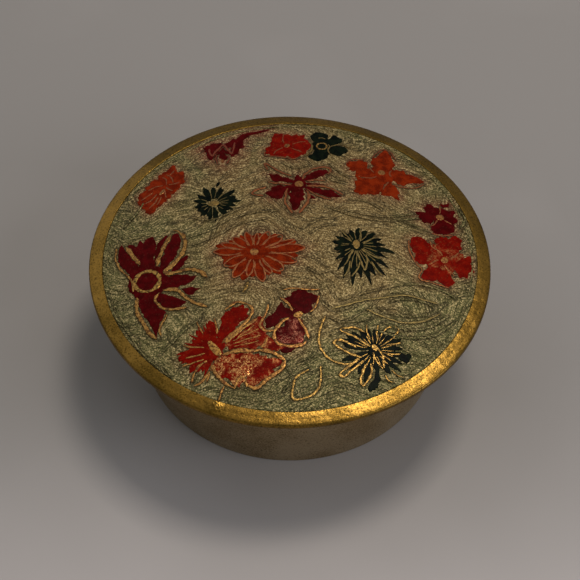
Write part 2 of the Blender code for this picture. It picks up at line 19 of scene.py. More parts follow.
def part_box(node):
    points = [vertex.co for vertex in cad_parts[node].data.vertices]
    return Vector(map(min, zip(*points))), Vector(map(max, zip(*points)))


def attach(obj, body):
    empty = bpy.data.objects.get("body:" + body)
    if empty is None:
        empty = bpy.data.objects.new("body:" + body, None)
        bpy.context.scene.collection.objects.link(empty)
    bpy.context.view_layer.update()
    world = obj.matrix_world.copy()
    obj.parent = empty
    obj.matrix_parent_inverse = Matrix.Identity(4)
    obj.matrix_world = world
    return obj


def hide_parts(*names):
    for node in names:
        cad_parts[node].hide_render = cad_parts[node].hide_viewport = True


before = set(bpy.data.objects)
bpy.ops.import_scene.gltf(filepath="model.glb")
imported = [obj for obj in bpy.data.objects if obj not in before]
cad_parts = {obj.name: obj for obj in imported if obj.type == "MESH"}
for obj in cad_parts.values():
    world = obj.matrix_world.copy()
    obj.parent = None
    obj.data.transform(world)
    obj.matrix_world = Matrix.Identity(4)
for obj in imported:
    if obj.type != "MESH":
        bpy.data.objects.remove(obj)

MM = 0.001
TO_MM = (1 / MM, 1 / MM, 1 / MM)
# A turned edge is uneven in this band, and shaded sharp where its faces turn more than the angle.
UNEVEN_BAND = 3 * MM
SHARP_ANGLE = math.radians(40)
# Lines along a petal's sides start at this share of its reach.
LENS_START = 0.28
LOG = logging.getLogger("enamelled_box")

Place = tuple[float, float]
Table = tuple[Place, ...]


def linear(hex_colour: str) -> tuple[float, float, float, float]:
    """Turn an sRGB hex colour into the linear colour that a shader takes.

    Args:
        hex_colour: Six hex digits after a hash sign.

    Returns:
        Red, green, blue and an alpha of 1.
    """
    parts = [int(hex_colour[start : start + 2], 16) / 255 for start in (1, 3, 5)]
    light = [part / 12.92 if part <= 0.04045 else ((part + 0.055) / 1.055) ** 2.4 for part in parts]
    return (*light, 1.0)


def add_node(tree: bpy.types.NodeTree, kind: str, inputs: dict | None = None, **settings) -> bpy.types.Node:
    """Add a node with its settings, and set or link its inputs.

    Args:
        tree: The tree that gets the node.
        kind: The node's type name.
        inputs: Values, sockets or Readings by input name or number.
        **settings: Properties of the node.

    Returns:
        The new node.
    """
    node = tree.nodes.new(kind)
    for name, value in settings.items():
        setattr(node, name, value)
    for key, value in (inputs or {}).items():
        source = value.socket if isinstance(value, Reading) else value
        if isinstance(source, bpy.types.NodeSocket):
            tree.links.new(source, node.inputs[key])
        else:
            node.inputs[key].default_value = source
    return node


def vector_step(tree: bpy.types.NodeTree, operation: str, inputs: dict) -> bpy.types.NodeSocket:
    """Work on vectors with one node.

    Args:
        tree: The tree that gets the node.
        operation: What the node does.
        inputs: Its values, sockets or Readings by input name or number.

    Returns:
        The socket of the result.
    """
    return add_node(tree, "ShaderNodeVectorMath", inputs, operation=operation).outputs[0]


def placed(name: str, data: bpy.types.ID) -> bpy.types.Object:
    """Put an object into the scene, at the origin.

    Args:
        name: The object's name.
        data: Its mesh, lamp or camera.

    Returns:
        The object.
    """
    thing = bpy.data.objects.new(name, data)
    bpy.context.scene.collection.objects.link(thing)
    return thing


def carry(mesh: bpy.types.Mesh, name: str, values: list[float]) -> None:
    """Let a mesh carry one value at each of its points."""
    mesh.attributes.new(name, "FLOAT", "POINT").data.foreach_set("value", values)


@dataclass(frozen=True)
class Reading:
    """A value that nodes work out. Sums written on it add the nodes that do them."""

    tree: bpy.types.NodeTree
    socket: bpy.types.NodeSocket

    def sum(self, operation: str, *values: object) -> "Reading":
        """Join this value and others with one maths node.

        Args:
            operation: What the node does.
            *values: The other values or Readings.

        Returns:
            The result.
        """
        inputs = dict(enumerate((self, *values)))
        node = add_node(self.tree, "ShaderNodeMath", inputs, operation=operation)
        return Reading(self.tree, node.outputs[0])

    def __add__(self, other: object) -> "Reading":
        """Add."""
        return self.sum("ADD", other)

    def __sub__(self, other: object) -> "Reading":
        """Subtract."""
        return self.sum("SUBTRACT", other)

    def __mul__(self, other: object) -> "Reading":
        """Multiply."""
        return self.sum("MULTIPLY", other)

    def __pow__(self, other: object) -> "Reading":
        """Raise to a power."""
        return self.sum("POWER", other)

    def between(self, low: float, high: float) -> "Reading":
        """Map a range to 0 to 1, with soft ends, and hold it there.

        Args:
            low: The value that becomes 0.
            high: The value that becomes 1.

        Returns:
            The mapped value.
        """
        inputs = {"Value": self, "From Min": low, "From Max": high}
        node = add_node(self.tree, "ShaderNodeMapRange", inputs, interpolation_type="SMOOTHSTEP")
        return Reading(self.tree, node.outputs["Result"])


@dataclass(frozen=True)
class Plan:
    """Positions on a piece in millimetres, with the patterns that read them."""

    tree: bpy.types.NodeTree
    place: bpy.types.NodeSocket

    def stretched(self, x: float, y: float) -> "Plan":
        """The same plan with X and Y scaled."""
        return Plan(self.tree, vector_step(self.tree, "MULTIPLY", {0: self.place, 1: (x, y, 1.0)}))

    def moved(self, x: float, y: float) -> "Plan":
        """The same plan moved along X and Y."""
        return Plan(self.tree, vector_step(self.tree, "ADD", {0: self.place, 1: (x, y, 0.0)}))

    def swayed(self, reach: float, size: float) -> "Plan":
        """The same plan pushed about by a slow pattern.

        Args:
            reach: How far it is pushed, in millimetres.
            size: Size of the pattern, in millimetres.

        Returns:
            The swayed plan.
        """
        slow = self.grain(size, 1.0, colour=True)
        push = vector_step(self.tree, "SUBTRACT", {0: slow, 1: (0.5, 0.5, 0.5)})
        inputs = {0: push, 1: (2 * reach, 2 * reach, 0.0), 2: self.place}
        return Plan(self.tree, vector_step(self.tree, "MULTIPLY_ADD", inputs))

    def grain(self, size: float, detail: float = 3.0, colour: bool = False) -> Reading:
        """Cloudy noise.

        Args:
            size: Size of its features, in millimetres, about.
            detail: How many finer layers it has.
            colour: Whether it gives a random vector in place of one value.

        Returns:
            The noise, from 0 to 1.
        """
        inputs = {"Vector": self.place, "Scale": 1.0 / size, "Detail": detail}
        node = add_node(self.tree, "ShaderNodeTexNoise", inputs)
        return Reading(self.tree, node.outputs["Color" if colour else "Fac"])

    def combed(self, length: float, spacing: float) -> Reading:
        """Ridges that wander along X, like the marks of a comb.

        Args:
            length: Length of a ridge, in millimetres.
            spacing: Distance between ridges, in millimetres.

        Returns:
            The ridges, from 0 to about 1 at each crest.
        """
        place = self.stretched(1.0 / length, 1.0 / spacing).place
        inputs = {"Vector": place, "Scale": 1.0, "Detail": 1.0}
        node = add_node(self.tree, "ShaderNodeTexNoise", inputs, noise_type="RIDGED_MULTIFRACTAL")
        return Reading(self.tree, node.outputs["Fac"])

    def cells(self, size: float) -> Reading:
        """Flecks of one size, in millimetres, with a random value from 0 to 1 in each."""
        node = add_node(self.tree, "ShaderNodeTexVoronoi", {"Vector": self.place, "Scale": 1.0 / size})
        return Plan(self.tree, node.outputs["Color"]).axis("X")

    def axis(self, letter: str) -> Reading:
        """One coordinate of the plan."""
        node = add_node(self.tree, "ShaderNodeSeparateXYZ", {0: self.place})
        return Reading(self.tree, node.outputs[letter])

    def from_middle(self) -> Reading:
        """Distance from the box's axis."""
        return (self.axis("X") ** 2.0 + self.axis("Y") ** 2.0) ** 0.5


class Paint:
    """A material's tree while it is being made.

    Args:
        name: The material's name.
    """

    def __init__(self, name: str) -> None:
        """Start a material with one Principled BSDF."""
        self.material = bpy.data.materials.new(name)
        self.material.use_nodes = True
        self.tree = self.material.node_tree
        self.shader = self.tree.nodes["Principled BSDF"]
        coordinates = add_node(self.tree, "ShaderNodeTexCoord").outputs["Object"]
        self.plan = Plan(self.tree, vector_step(self.tree, "MULTIPLY", {0: coordinates, 1: TO_MM}))

    def attribute(self, name: str) -> Reading:
        """A value that the mesh carries."""
        node = add_node(self.tree, "ShaderNodeAttribute", attribute_name=name)
        return Reading(self.tree, node.outputs["Fac"])

    def mix(self, share: Reading | float, under: object, over: object) -> bpy.types.NodeSocket:
        """Lay one colour over another.

        Args:
            share: How much of the upper colour shows.
            under: The lower colour, as hex or a socket.
            over: The upper colour, as hex or a socket.

        Returns:
            The socket of the mixed colour.
        """
        colours = [linear(colour) if isinstance(colour, str) else colour for colour in (under, over)]
        inputs = {0: share, 6: colours[0], 7: colours[1]}
        return add_node(self.tree, "ShaderNodeMix", inputs, data_type="RGBA").outputs[2]

    def emboss(self, height: Reading, depth: float, below: object = None) -> bpy.types.NodeSocket:
        """Raise the surface by a pattern.

        Args:
            height: The pattern.
            depth: Its depth, in millimetres.
            below: A normal that is raised already.

        Returns:
            The new normal.
        """
        inputs = {"Height": height, "Distance": depth * MM, "Strength": 1.0}
        if below is not None:
            inputs["Normal"] = below
        return add_node(self.tree, "ShaderNodeBump", inputs).outputs[0]

    def finish(self, **inputs: object) -> bpy.types.Material:
        """Set the shader's sockets.

        Args:
            **inputs: Values, sockets or Readings by socket name, with an underscore for each space.

        Returns:
            The material.
        """
        for name, value in inputs.items():
            socket = self.shader.inputs[name.replace("_", " ").title().replace("Ior", "IOR")]
            source = value.socket if isinstance(value, Reading) else value
            if isinstance(source, bpy.types.NodeSocket):
                self.tree.links.new(source, socket)
            else:
                socket.default_value = source
        return self.material


@dataclass(frozen=True)
class BrassFinish:
    """Cast and turned yellow brass, hand rubbed, with the brown tarnish that years of handling leave.

    The metal shows gold where it is rubbed, olive brown where it isn't, with dark specks in its pores.
    """

    name: str
    rubbed: str
    tarnished: str
    pores: str
    roughness: float = 0.36
    metallic: float = 1.0
    rubbed_share: float = 0.5
    blotch: float = 5.0
    # Real pores are about 0.1 mm; they are drawn at 0.4 mm to show in the picture.
    grain: float = 0.4
    grain_depth: float = 0.05
    dent_depth: float = 0.0
    turning_depth: float = 0.0
    # Places that were knocked, as X, Y and reach in millimetres. Their small facets catch the light.
    nicks: tuple[tuple[float, float, float], ...] = ()
    nick_depth: float = 0.5
    facet: float = 0.9
    dent: float = 2.6
    # Tool marks of the lathe, in rings for each millimetre; real ones are two or three times finer.
    turning_rings: float = 3.2

    def make(self) -> bpy.types.Material:
        """Make the material.

        Returns:
            The finished material.
        """
        paint = Paint(self.name)
        plan = paint.plan
        blotches = plan.grain(self.blotch, 3.0)
        grain = plan.grain(self.grain, 4.0)
        rubbed = (blotches + (grain - 0.5) * 0.9 + (self.rubbed_share - 0.5)).between(0.25, 0.75)
        colour = paint.mix(rubbed, self.tarnished, self.rubbed)
        pores = grain.between(0.44, 0.32) * 0.6
        colour = paint.mix(pores, colour, self.pores)
        normal = paint.emboss(grain, self.grain_depth)
        if self.dent_depth:
            normal = paint.emboss(plan.grain(self.dent, 2.0), self.dent_depth, normal)
        for x, y, reach in self.nicks:
            away = plan.moved(-x, -y).from_middle()
            facets = plan.grain(self.facet, 1.0) * away.between(reach, 0.0)
            normal = paint.emboss(facets, self.nick_depth, normal)
        if self.turning_depth:
            across, up = plan.from_middle() * self.turning_rings, plan.axis("Z") * self.turning_rings
            rings = add_node(paint.tree, "ShaderNodeCombineXYZ", {"X": across, "Y": up}).outputs[0]
            normal = paint.emboss(Plan(paint.tree, rings).grain(1.0, 2.0), self.turning_depth, normal)
        roughness = rubbed * -0.12 + (self.roughness + 0.12)
        return paint.finish(base_color=colour, metallic=self.metallic, roughness=roughness, normal=normal)


@dataclass(frozen=True)
class LineFinish:
    """Bare brass left standing between the cells and stoned flush with the enamel.

    Its face glitters in small facets. Beside red enamel it keeps a thin red film, and where it
    wasn't stoned bare it keeps a veil of the mica enamel.
    """

    name: str
    bright: str
    dull: str
    pores: str
    film: str
    veil: str
    roughness: float = 0.42
    metallic: float = 0.85
    facet: float = 0.30
    wear: float = 0.8

    def make(self) -> bpy.types.Material:
        """Make the material.

        Returns:
            The finished material.
        """
        paint = Paint(self.name)
        plan = paint.plan
        facets = plan.cells(self.facet)
        worn = plan.grain(self.wear, 4.0)
        colour = paint.mix((facets * 0.6 + worn * 0.9).between(0.40, 1.0), self.dull, self.bright)
        colour = paint.mix(worn.between(0.46, 0.34) * 0.75, colour, self.pores)
        colour = paint.mix(paint.attribute("film"), colour, self.film)
        colour = paint.mix(paint.attribute("veil") * 0.9, colour, self.veil)
        normal = paint.emboss(facets, 0.05)
        roughness = facets * -0.15 + (self.roughness + 0.1)
        return paint.finish(base_color=colour, metallic=self.metallic, roughness=roughness, normal=normal)


@dataclass(frozen=True)
class VitreousEnamel:
    """Opaque coloured glass enamel, fired in cells and stoned flush, then waxed.

    It shows a deep even colour, cloudy from the firing, with a few specks of brass.
    """

    name: str
    deep: str
    bright: str
    roughness: float = 0.38
    cloud: float = 1.8
    speck: str = "#b87f48"
    # Grains of the ground glass are really about 0.1 mm; they and the brass specks are drawn coarser.
    grain: float = 0.3
    fleck_size: float = 0.27
    worn_size: float = 2.4

    def make(self) -> bpy.types.Material:
        """Make the material.

        Returns:
            The finished material.
        """
        paint = Paint(self.name)
        plan = paint.plan
        clouds = plan.grain(self.cloud, 4.0)
        grains = plan.grain(self.grain, 2.0)
        colour = paint.mix((clouds + (grains - 0.5) * 0.6).between(0.34, 0.68), self.deep, self.bright)
        flecks = plan.cells(self.fleck_size)
        colour = paint.mix(flecks.between(0.90, 1.0) * 0.06, colour, self.speck)
        # Where the enamel was rubbed through, the brass below glitters in it.
        thin = paint.attribute("glitter") * plan.grain(self.worn_size, 3.0).between(0.41, 0.63)
        colour = paint.mix(thin * (flecks * 0.6 + grains * 0.6).between(0.35, 1.0), colour, self.speck)
        normal = paint.emboss(flecks * thin + grains * 0.25, 0.05)
        roughness = thin * -0.14 + self.roughness
        return paint.finish(base_color=colour, metallic=thin * 0.7, roughness=roughness,
                            specular_ior_level=0.02, normal=normal)


@dataclass(frozen=True)
class PearlEnamel:
    """Translucent enamel filled with mica, fired over a hand-chased ground.

    It glitters in fine flecks, and is greener towards the rim and browner in the middle.
    """

    name: str
    brown: str
    green: str
    shade: str
    fleck: str
    film: str
    roughness: float = 0.5
    metallic: float = 0.3
    cloud: float = 8.0
    brown_middle: Place = (4.0, 9.0)
    green_reach: float = 40.0
    sway: float = 30.0
    stroke_length: float = 12.0
    stroke_spacing: float = 2.2
    # Mica flecks are really about 0.1 mm; they are drawn at 0.25 mm and more to show in the
    # picture, in a film that the brush left in streaks.
    fleck_size: float = 0.25
    speck_size: float = 0.36

    def make(self) -> bpy.types.Material:
        """Make the material.

        Returns:
            The finished material.
        """
        paint = Paint(self.name)
        plan = paint.plan
        cloud = plan.grain(self.cloud, 4.0)
        # The middle of the brown part lies a little behind the lid's own middle.
        x, y = self.brown_middle
        reach = plan.moved(-x, -y).stretched(1.0, 0.85).from_middle()
        greener = (reach * (1 / self.green_reach) + (cloud - 0.5) * 1.3).between(0.4, 1.0)
        colour = paint.mix(greener, self.brown, self.green)
        colour = paint.mix(paint.attribute("film"), colour, self.film)
        flow = plan.swayed(self.sway, self.sway)
        crests = flow.combed(self.stroke_length, self.stroke_spacing).between(0.85, 1.2)
        valleys = flow.stretched(0.10, 0.6).grain(1.0, 2.0).between(0.52, 0.34)
        flecks = plan.cells(self.fleck_size)
        specks = plan.grain(self.speck_size, 2.0) + (flecks - 0.5) * 0.16
        brushed = flow.stretched(0.8, 2.8).grain(1.0, 3.0) * 0.42 + specks * 0.58
        colour = paint.mix(valleys * 0.45, colour, self.shade)
        colour = paint.mix(crests * 0.62, colour, self.fleck)
        colour = paint.mix(brushed.between(0.48, 0.66) * 0.8, colour, self.fleck)
        colour = paint.mix(brushed.between(0.50, 0.34) * 0.85, colour, self.shade)
        # Painted shade: the enamel's step casts a thin shadow on the ground beside each brass line.
        colour = paint.mix(paint.attribute("painted_line_shade") * 0.75, colour, self.shade)
        normal = paint.emboss(brushed, 0.12)
        normal = paint.emboss(crests - valleys, 0.26, normal)
        roughness = flecks * -0.2 + (self.roughness + 0.1)
        return paint.finish(base_color=colour, metallic=self.metallic, roughness=roughness,
                            specular_ior_level=0.15, normal=normal)


@dataclass(frozen=True)
class TableFinish:
    """Matt pale laminate of a studio table, faintly mottled, with painted light that makes it paler in front of
    the box.
    """

    name: str
    pale: str
    shade: str
    front_light_from: float = 10.0
    front_light_to: float = 110.0
    mottle: float = 60.0

    def make(self) -> bpy.types.Material:
        """Make the material.

        Returns:
            The finished material.
        """
        paint = Paint(self.name)
        # Painted light: the top grows paler towards the camera, in front of the box, where more light falls.
        painted_front_light = (paint.plan.axis("Y") * -1.0).between(self.front_light_from, self.front_light_to)
        mottle = (paint.plan.grain(self.mottle, 2.0) - 0.5) * 0.4
        colour = paint.mix(mottle + painted_front_light, self.shade, self.pale)
        return paint.finish(base_color=colour, metallic=0.0, roughness=0.75)


class Slot(Enum):
    """The record's material slots, each with its finish."""

    RIM = ("rim_brass", BrassFinish("turned_rubbed_rim_brass", "#88692d", "#604a1b", "#30210a",
                                    roughness=0.29, grain_depth=0.025, dent_depth=0.16,
                                    blotch=9.0, nicks=((-17.4, -44.0, 2.6),)))
    WALL = ("wall_brass", BrassFinish("tarnished_wall_brass", "#a48f6c", "#806a45", "#483822",
                                      roughness=0.42, metallic=0.72, blotch=12.0, turning_depth=0.02))
    INSIDE = ("inner_brass", BrassFinish("turned_inner_brass", "#a98746", "#6f5630", "#3b2b17",
                                         roughness=0.40, blotch=9.0, turning_depth=0.06))
    WIRE = ("wire_brass", LineFinish("stoned_line_brass", "#ad8742", "#5d431c", "#33230d", "#80402a",
                                      "#685c36"))
    GROUND = ("ground_enamel", PearlEnamel("fired_mica_enamel", "#6c5933", "#57562f", "#28210c", "#c2ad79",
                                           "#6e3524"))
    CRIMSON = ("crimson_enamel", VitreousEnamel("fired_crimson_enamel", "#380202", "#4c0406", speck="#a87058"))
    RED = ("red_enamel", VitreousEnamel("fired_scarlet_enamel", "#5c0601", "#760e02", speck="#e0ac68"))
    ORANGE = ("orange_enamel", VitreousEnamel("fired_orange_enamel", "#5a1402", "#7c2406"))
    GREEN = ("green_enamel", VitreousEnamel("fired_bottle_green_enamel", "#040806", "#0f170c", speck="#5c5a38"))

    @property
    def label(self) -> str:
        """The slot's name in the record."""
        return self.value[0]

    @property
    def material(self) -> bpy.types.Material:
        """The slot's material, made once."""
        finish = self.value[1]
        return bpy.data.materials.get(finish.name) or finish.make()


def keep_piece(piece: bpy.types.Object, slot: Slot, body: str, *nodes: str) -> bpy.types.Object:
    """Put a finished piece on the body that it moves with, and hide the CAD nodes that it replaces.

    Args:
        piece: The finished piece, at the origin.
        slot: The record's slot that it takes its finish from; not used.
        body: The body that it moves with.
        *nodes: The CAD nodes that it replaces.

    Returns:
        The same piece.
    """
    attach(piece, body)
    if nodes:
        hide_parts(*nodes)
    LOG.info("%s: %d faces, on %s", piece.name, len(piece.data.polygons), body)
    return piece


class GeometryTree:
    """A tree of geometry nodes with named inputs, run on a guide to make a plain mesh.

    Args:
        name: The tree's name.
    """

    def __init__(self, name: str) -> None:
        """Start the tree with its geometry and material sockets."""
        self.tree = bpy.data.node_groups.new(name, "GeometryNodeTree")
        self.sockets: dict[str, str] = {}
        self.guide_in = self.tree.nodes.new("NodeGroupInput")
        self.geometry = self.take("Geometry", "NodeSocketGeometry").socket
        self.finish_material = self.take("Finish", "NodeSocketMaterial").socket
        self.plan = Plan(self.tree, vector_step(self.tree, "MULTIPLY", {0: self.here().place, 1: TO_MM}))

    def here(self) -> Plan:
        """Positions in metres at the step that reads them."""
        return Plan(self.tree, self.tree.nodes.new("GeometryNodeInputPosition").outputs[0])

    def take(self, name: str, kind: str = "NodeSocketFloat") -> Reading:
        """Add a named input to the tree.

        Args:
            name: The input's name.
            kind: Its socket type.

        Returns:
            What the tree reads from it.
        """
        socket = self.tree.interface.new_socket(name=name, in_out="INPUT", socket_type=kind)
        self.sockets[name] = socket.identifier
        return Reading(self.tree, self.guide_in.outputs[name])

    def step(self, kind: str, geometry: object, inputs: dict | None = None, **settings) -> bpy.types.NodeSocket:
        """Add one node that changes the geometry.

        Args:
            kind: The node's type name.
            geometry: The socket of the geometry.
            inputs: Its other inputs by name or number.
            **settings: Properties of the node.

        Returns:
            The socket of the changed geometry.
        """
        node = add_node(self.tree, kind, inputs, **settings)
        self.tree.links.new(geometry, node.inputs[0])
        return node.outputs[0]

    def lay_on_dome(self, geometry: object) -> bpy.types.NodeSocket:
        """Lift each point of a plan by the dome's height there.

        Args:
            geometry: The socket of the geometry.

        Returns:
            The socket of the lifted geometry.
        """
        ball = self.take("Ball Radius")
        middle = self.take("Ball Height")
        x, y = self.here().axis("X"), self.here().axis("Y")
        lift = (ball ** 2.0 - x ** 2.0 - y ** 2.0) ** 0.5 + middle
        offset = add_node(self.tree, "ShaderNodeCombineXYZ", {"Z": lift}).outputs[0]
        return self.step("GeometryNodeSetPosition", geometry, {"Offset": offset})

    def close(self, geometry: object) -> None:
        """End the tree in plain, shaded and painted geometry.

        Args:
            geometry: The socket of the geometry.
        """
        geometry = self.step("GeometryNodeRealizeInstances", geometry)
        geometry = self.step("GeometryNodeSetShadeSmooth", geometry)
        geometry = self.step("GeometryNodeSetMaterial", geometry, {"Material": self.finish_material})
        self.tree.interface.new_socket(name="Geometry", in_out="OUTPUT", socket_type="NodeSocketGeometry")
        self.tree.links.new(geometry, self.tree.nodes.new("NodeGroupOutput").inputs[0])

    def run(self, guide: bpy.types.Mesh, name: str, values: dict[str, object]) -> bpy.types.Object:
        """Run the tree on a guide mesh.

        Args:
            guide: The mesh that the tree starts from; it is removed.
            name: The finished piece's name.
            values: Values of the tree's named inputs.

        Returns:
            A plain mesh object, in the scene, at the origin.
        """
        holder = placed(name + "_guide", guide)
        modifier = holder.modifiers.new("nodes", "NODES")
        modifier.node_group = self.tree
        for key, value in values.items():
            modifier[self.sockets[key]] = value
        graph = bpy.context.evaluated_depsgraph_get()
        mesh = bpy.data.meshes.new_from_object(holder.evaluated_get(graph), depsgraph=graph)
        bpy.data.objects.remove(holder)
        bpy.data.meshes.remove(guide)
        mesh.name = name
        return placed(name, mesh)


@dataclass(frozen=True)
class Dome:
    """The low ball that the lid's top is part of."""

    seat: float
    radius: float
    edge: float = 1.2 * MM
    rise: float = 5.6 * MM

    @property
    def ball(self) -> float:
        """Radius of the ball."""
        return (self.radius**2 + self.rise**2) / (2 * self.rise)

    @property
    def ball_height(self) -> float:
        """Height of the ball's middle, far under the table."""
        return self.seat + self.edge + self.rise - self.ball

    def height(self, distance: float) -> float:
        """Height of the dome at a distance from the axis."""
        return self.ball_height + math.sqrt(self.ball**2 - distance**2)

    def inputs(self, slot: Slot) -> dict[str, object]:
        """The inputs that every tree laid on the dome takes."""
        return {"Ball Radius": self.ball, "Ball Height": self.ball_height, "Finish": slot.material}


def rounded(corners: list[tuple[float, float, float]], steps: int = 4) -> list[Place]:
    """Round the corners of a closed profile.

    Args:
        corners: Radius, height and rounding radius of each corner.
        steps: Points along each rounding.

    Returns:
        Points of the rounded profile.
    """
    profile = []
    for index, (x, y, soft) in enumerate(corners):
        here = np.array((x, y))
        before = np.array(corners[index - 1][:2]) - here
        after = np.array(corners[(index + 1) % len(corners)][:2]) - here
        if soft == 0:
            profile.append((x, y))
            continue
        start = here + before / np.linalg.norm(before) * min(soft, np.linalg.norm(before) / 2)
        end = here + after / np.linalg.norm(after) * min(soft, np.linalg.norm(after) / 2)
        for share in np.linspace(0, 1, steps + 1):
            point = start * (1 - share) ** 2 + 2 * here * share * (1 - share) + end * share**2
            profile.append((float(point[0]), float(point[1])))
    return profile


def turned_piece(name: str, profile: list[Place], slot: Slot, steps: int,
                 uneven: float = 0.0) -> bpy.types.Object:
    """Turn a closed profile about the box's axis.

    Args:
        name: The piece's name.
        profile: Points as radius and height, in order round the section.
        slot: The slot whose finish it gets.
        steps: Facets round the axis.
        uneven: How far the hand-finished outer edge falls short of round, at most.

    Returns:
        The turned piece.
    """
    work = bmesh.new()
    rings = []
    outermost = max(radius for radius, _ in profile)
    for radius, height in profile:
        if radius < 1e-7:
            rings.append([work.verts.new((0, 0, height))] * steps)
            continue
        ring = []
        for step in range(steps):
            angle = math.tau * step / steps
            # Two slow waves, together from 0 to 1, as a hand leaves a turned edge.
            wave = 0.5 + 0.3 * math.sin(2 * angle + 0.6) + 0.2 * math.sin(5 * angle + 2.0)
            reach = radius - uneven * wave * max(0.0, 1 - (outermost - radius) / UNEVEN_BAND)
            ring.append(work.verts.new((reach * math.cos(angle), reach * math.sin(angle), height)))
        rings.append(ring)
    for index, ring in enumerate(rings):
        upper = rings[(index + 1) % len(rings)]
        if ring[0] is ring[1] and upper[0] is upper[1]:
            continue
        for step in range(steps):
            after = (step + 1) % steps
            corners = [ring[step], ring[after], upper[after], upper[step]]
            work.faces.new(list(dict.fromkeys(corners)))
    bmesh.ops.recalc_face_normals(work, faces=work.faces)
    mesh = bpy.data.meshes.new(name)
    work.to_mesh(mesh)
    work.free()
    mesh.shade_smooth()
    mesh.set_sharp_from_angle(angle=SHARP_ANGLE)
    mesh.materials.append(slot.material)
    return placed(name, mesh)


@dataclass
class BrassBase:
    """The tapered brass wall and the disc that closes it."""

    foot_radius: float = 38.4 * MM
    mouth_radius: float = 43.5 * MM
    wall_thickness: float = 1.6 * MM
    mouth_thickness: float = 2.2 * MM
    ledge_width: float = 1.3 * MM
    ledge_height: float = 1.5 * MM
    seat_depth: float = 6.0 * MM
    softness: float = 0.35 * MM
    steps: int = 288
    height: float = field(init=False)

    def __post_init__(self) -> None:
        """Take the height from the frame."""
        self.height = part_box("base_wall")[1].z

    def outer(self, height: float) -> float:
        """Outer radius of the wall at a height."""
        return self.foot_radius + (self.mouth_radius - self.foot_radius) * height / self.height

    def build_wall(self) -> bpy.types.Object:
        """Turn the wall with its foot ring, its ledge and the seat for the lid's collar.

        Returns:
            The finished wall.
        """
        inner_foot = self.foot_radius - self.wall_thickness
        seat_bottom = self.height - self.seat_depth
        seat = self.mouth_radius - self.mouth_thickness
        soft = self.softness
        corners = [
            (self.mouth_radius, self.height, soft),
            (self.foot_radius, 0.0, 1.5 * soft),
            (inner_foot - self.ledge_width, 0.0, soft),
            (inner_foot - self.ledge_width, self.ledge_height, 0.0),
            (self.outer(self.ledge_height) - self.wall_thickness, self.ledge_height, 0.0),
            (self.outer(seat_bottom) - self.wall_thickness, seat_bottom, soft),
            (seat, seat_bottom, soft),
            (seat, self.height, soft),
        ]
        piece = turned_piece("tapered_wall", rounded(corners), Slot.WALL, self.steps)
        return keep_piece(piece, Slot.WALL, "base", "base_wall")

    def build_floor(self) -> bpy.types.Object:
        """Turn the floor disc, which fills its ledge from edge to edge.

        Returns:
            The finished disc.
        """
        low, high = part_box("base_floor")
        corners = [(0.0, high.z, 0.0), (high.x, high.z, 0.3 * MM), (high.x, low.z, 0.3 * MM), (0.0, low.z, 0.0)]
        piece = turned_piece("floor_disc", rounded(corners), Slot.INSIDE, self.steps)
        return keep_piece(piece, Slot.INSIDE, "base", "base_floor")

    def build(self) -> None:
        """Build both pieces."""
        self.build_wall()
        self.build_floor()


@dataclass
class BrassLid:
    """The domed plate with its turned rim, and the collar under it."""

    dome: Dome
    rim_width: float = 3.7 * MM
    field_depth: float = 1.25 * MM
    groove_inset: float = 1.5 * MM
    groove_width: float = 0.5 * MM
    groove_depth: float = 0.012 * MM
    plate_thickness: float = 1.2 * MM
    undercut_radius: float = 39.5 * MM
    undercut_step: float = 0.8 * MM
    collar_radius: float = 41.0 * MM
    collar_thickness: float = 1.2 * MM
    uneven: float = 0.45 * MM
    steps: int = 360

    def dome_ring(self, radius: float, drop: float = 0.0) -> tuple[float, float, float]:
        """A corner of the profile on the dome, or below it."""
        return (radius, self.dome.height(radius) - drop, 0.0)

    def build_plate(self) -> bpy.types.Object:
        """Turn the plate: sunk field, sloped rim with its groove, thin edge and hollow underside.

        Returns:
            The finished plate.
        """
        seat, full = self.dome.seat, self.dome.radius
        field_radius = full - self.rim_width
        groove = full - self.groove_inset
        deep = self.groove_depth
        corners = [self.dome_ring(radius, self.field_depth) for radius in np.linspace(0, field_radius, 14)]
        corners += [
            (field_radius, self.dome.height(field_radius) + 0.02 * MM, 0.25 * MM),
            self.dome_ring(groove - self.groove_width),
            self.dome_ring(groove - self.groove_width / 2, deep),
            self.dome_ring(groove),
            (full, self.dome.height(full), 0.45 * MM),
            (full, seat, 0.25 * MM),
            (self.undercut_radius, seat, 0.2 * MM),
        ]
        under_rise = (self.dome.edge + self.dome.rise - self.field_depth - self.plate_thickness
                      - self.undercut_step)
        under_ball = (self.undercut_radius**2 + under_rise**2) / (2 * under_rise)
        crown = seat + self.undercut_step + under_rise
        for radius in np.linspace(self.undercut_radius, 0, 12):
            corners.append((radius, crown - under_ball + math.sqrt(under_ball**2 - radius**2), 0.0))
        piece = turned_piece("domed_plate", rounded(corners), Slot.RIM, self.steps, self.uneven)
        return keep_piece(piece, Slot.RIM, "lid", "lid_plate")

    def build_collar(self) -> bpy.types.Object:
        """Turn the collar that drops inside the wall's mouth.

        Returns:
            The finished collar.
        """
        low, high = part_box("lid_collar")
        inner, soft = self.collar_radius - self.collar_thickness, 0.3 * MM
        corners = [
            (self.collar_radius, high.z, 0.0),
            (self.collar_radius, low.z, 1.5 * soft),
            (inner, low.z, soft),
            (inner, high.z, 0.0),
        ]
        piece = turned_piece("collar", rounded(corners), Slot.INSIDE, self.steps)
        return keep_piece(piece, Slot.INSIDE, "lid", "lid_collar")

    def build(self) -> None:
        """Build both pieces."""
        self.build_plate()
        self.build_collar()


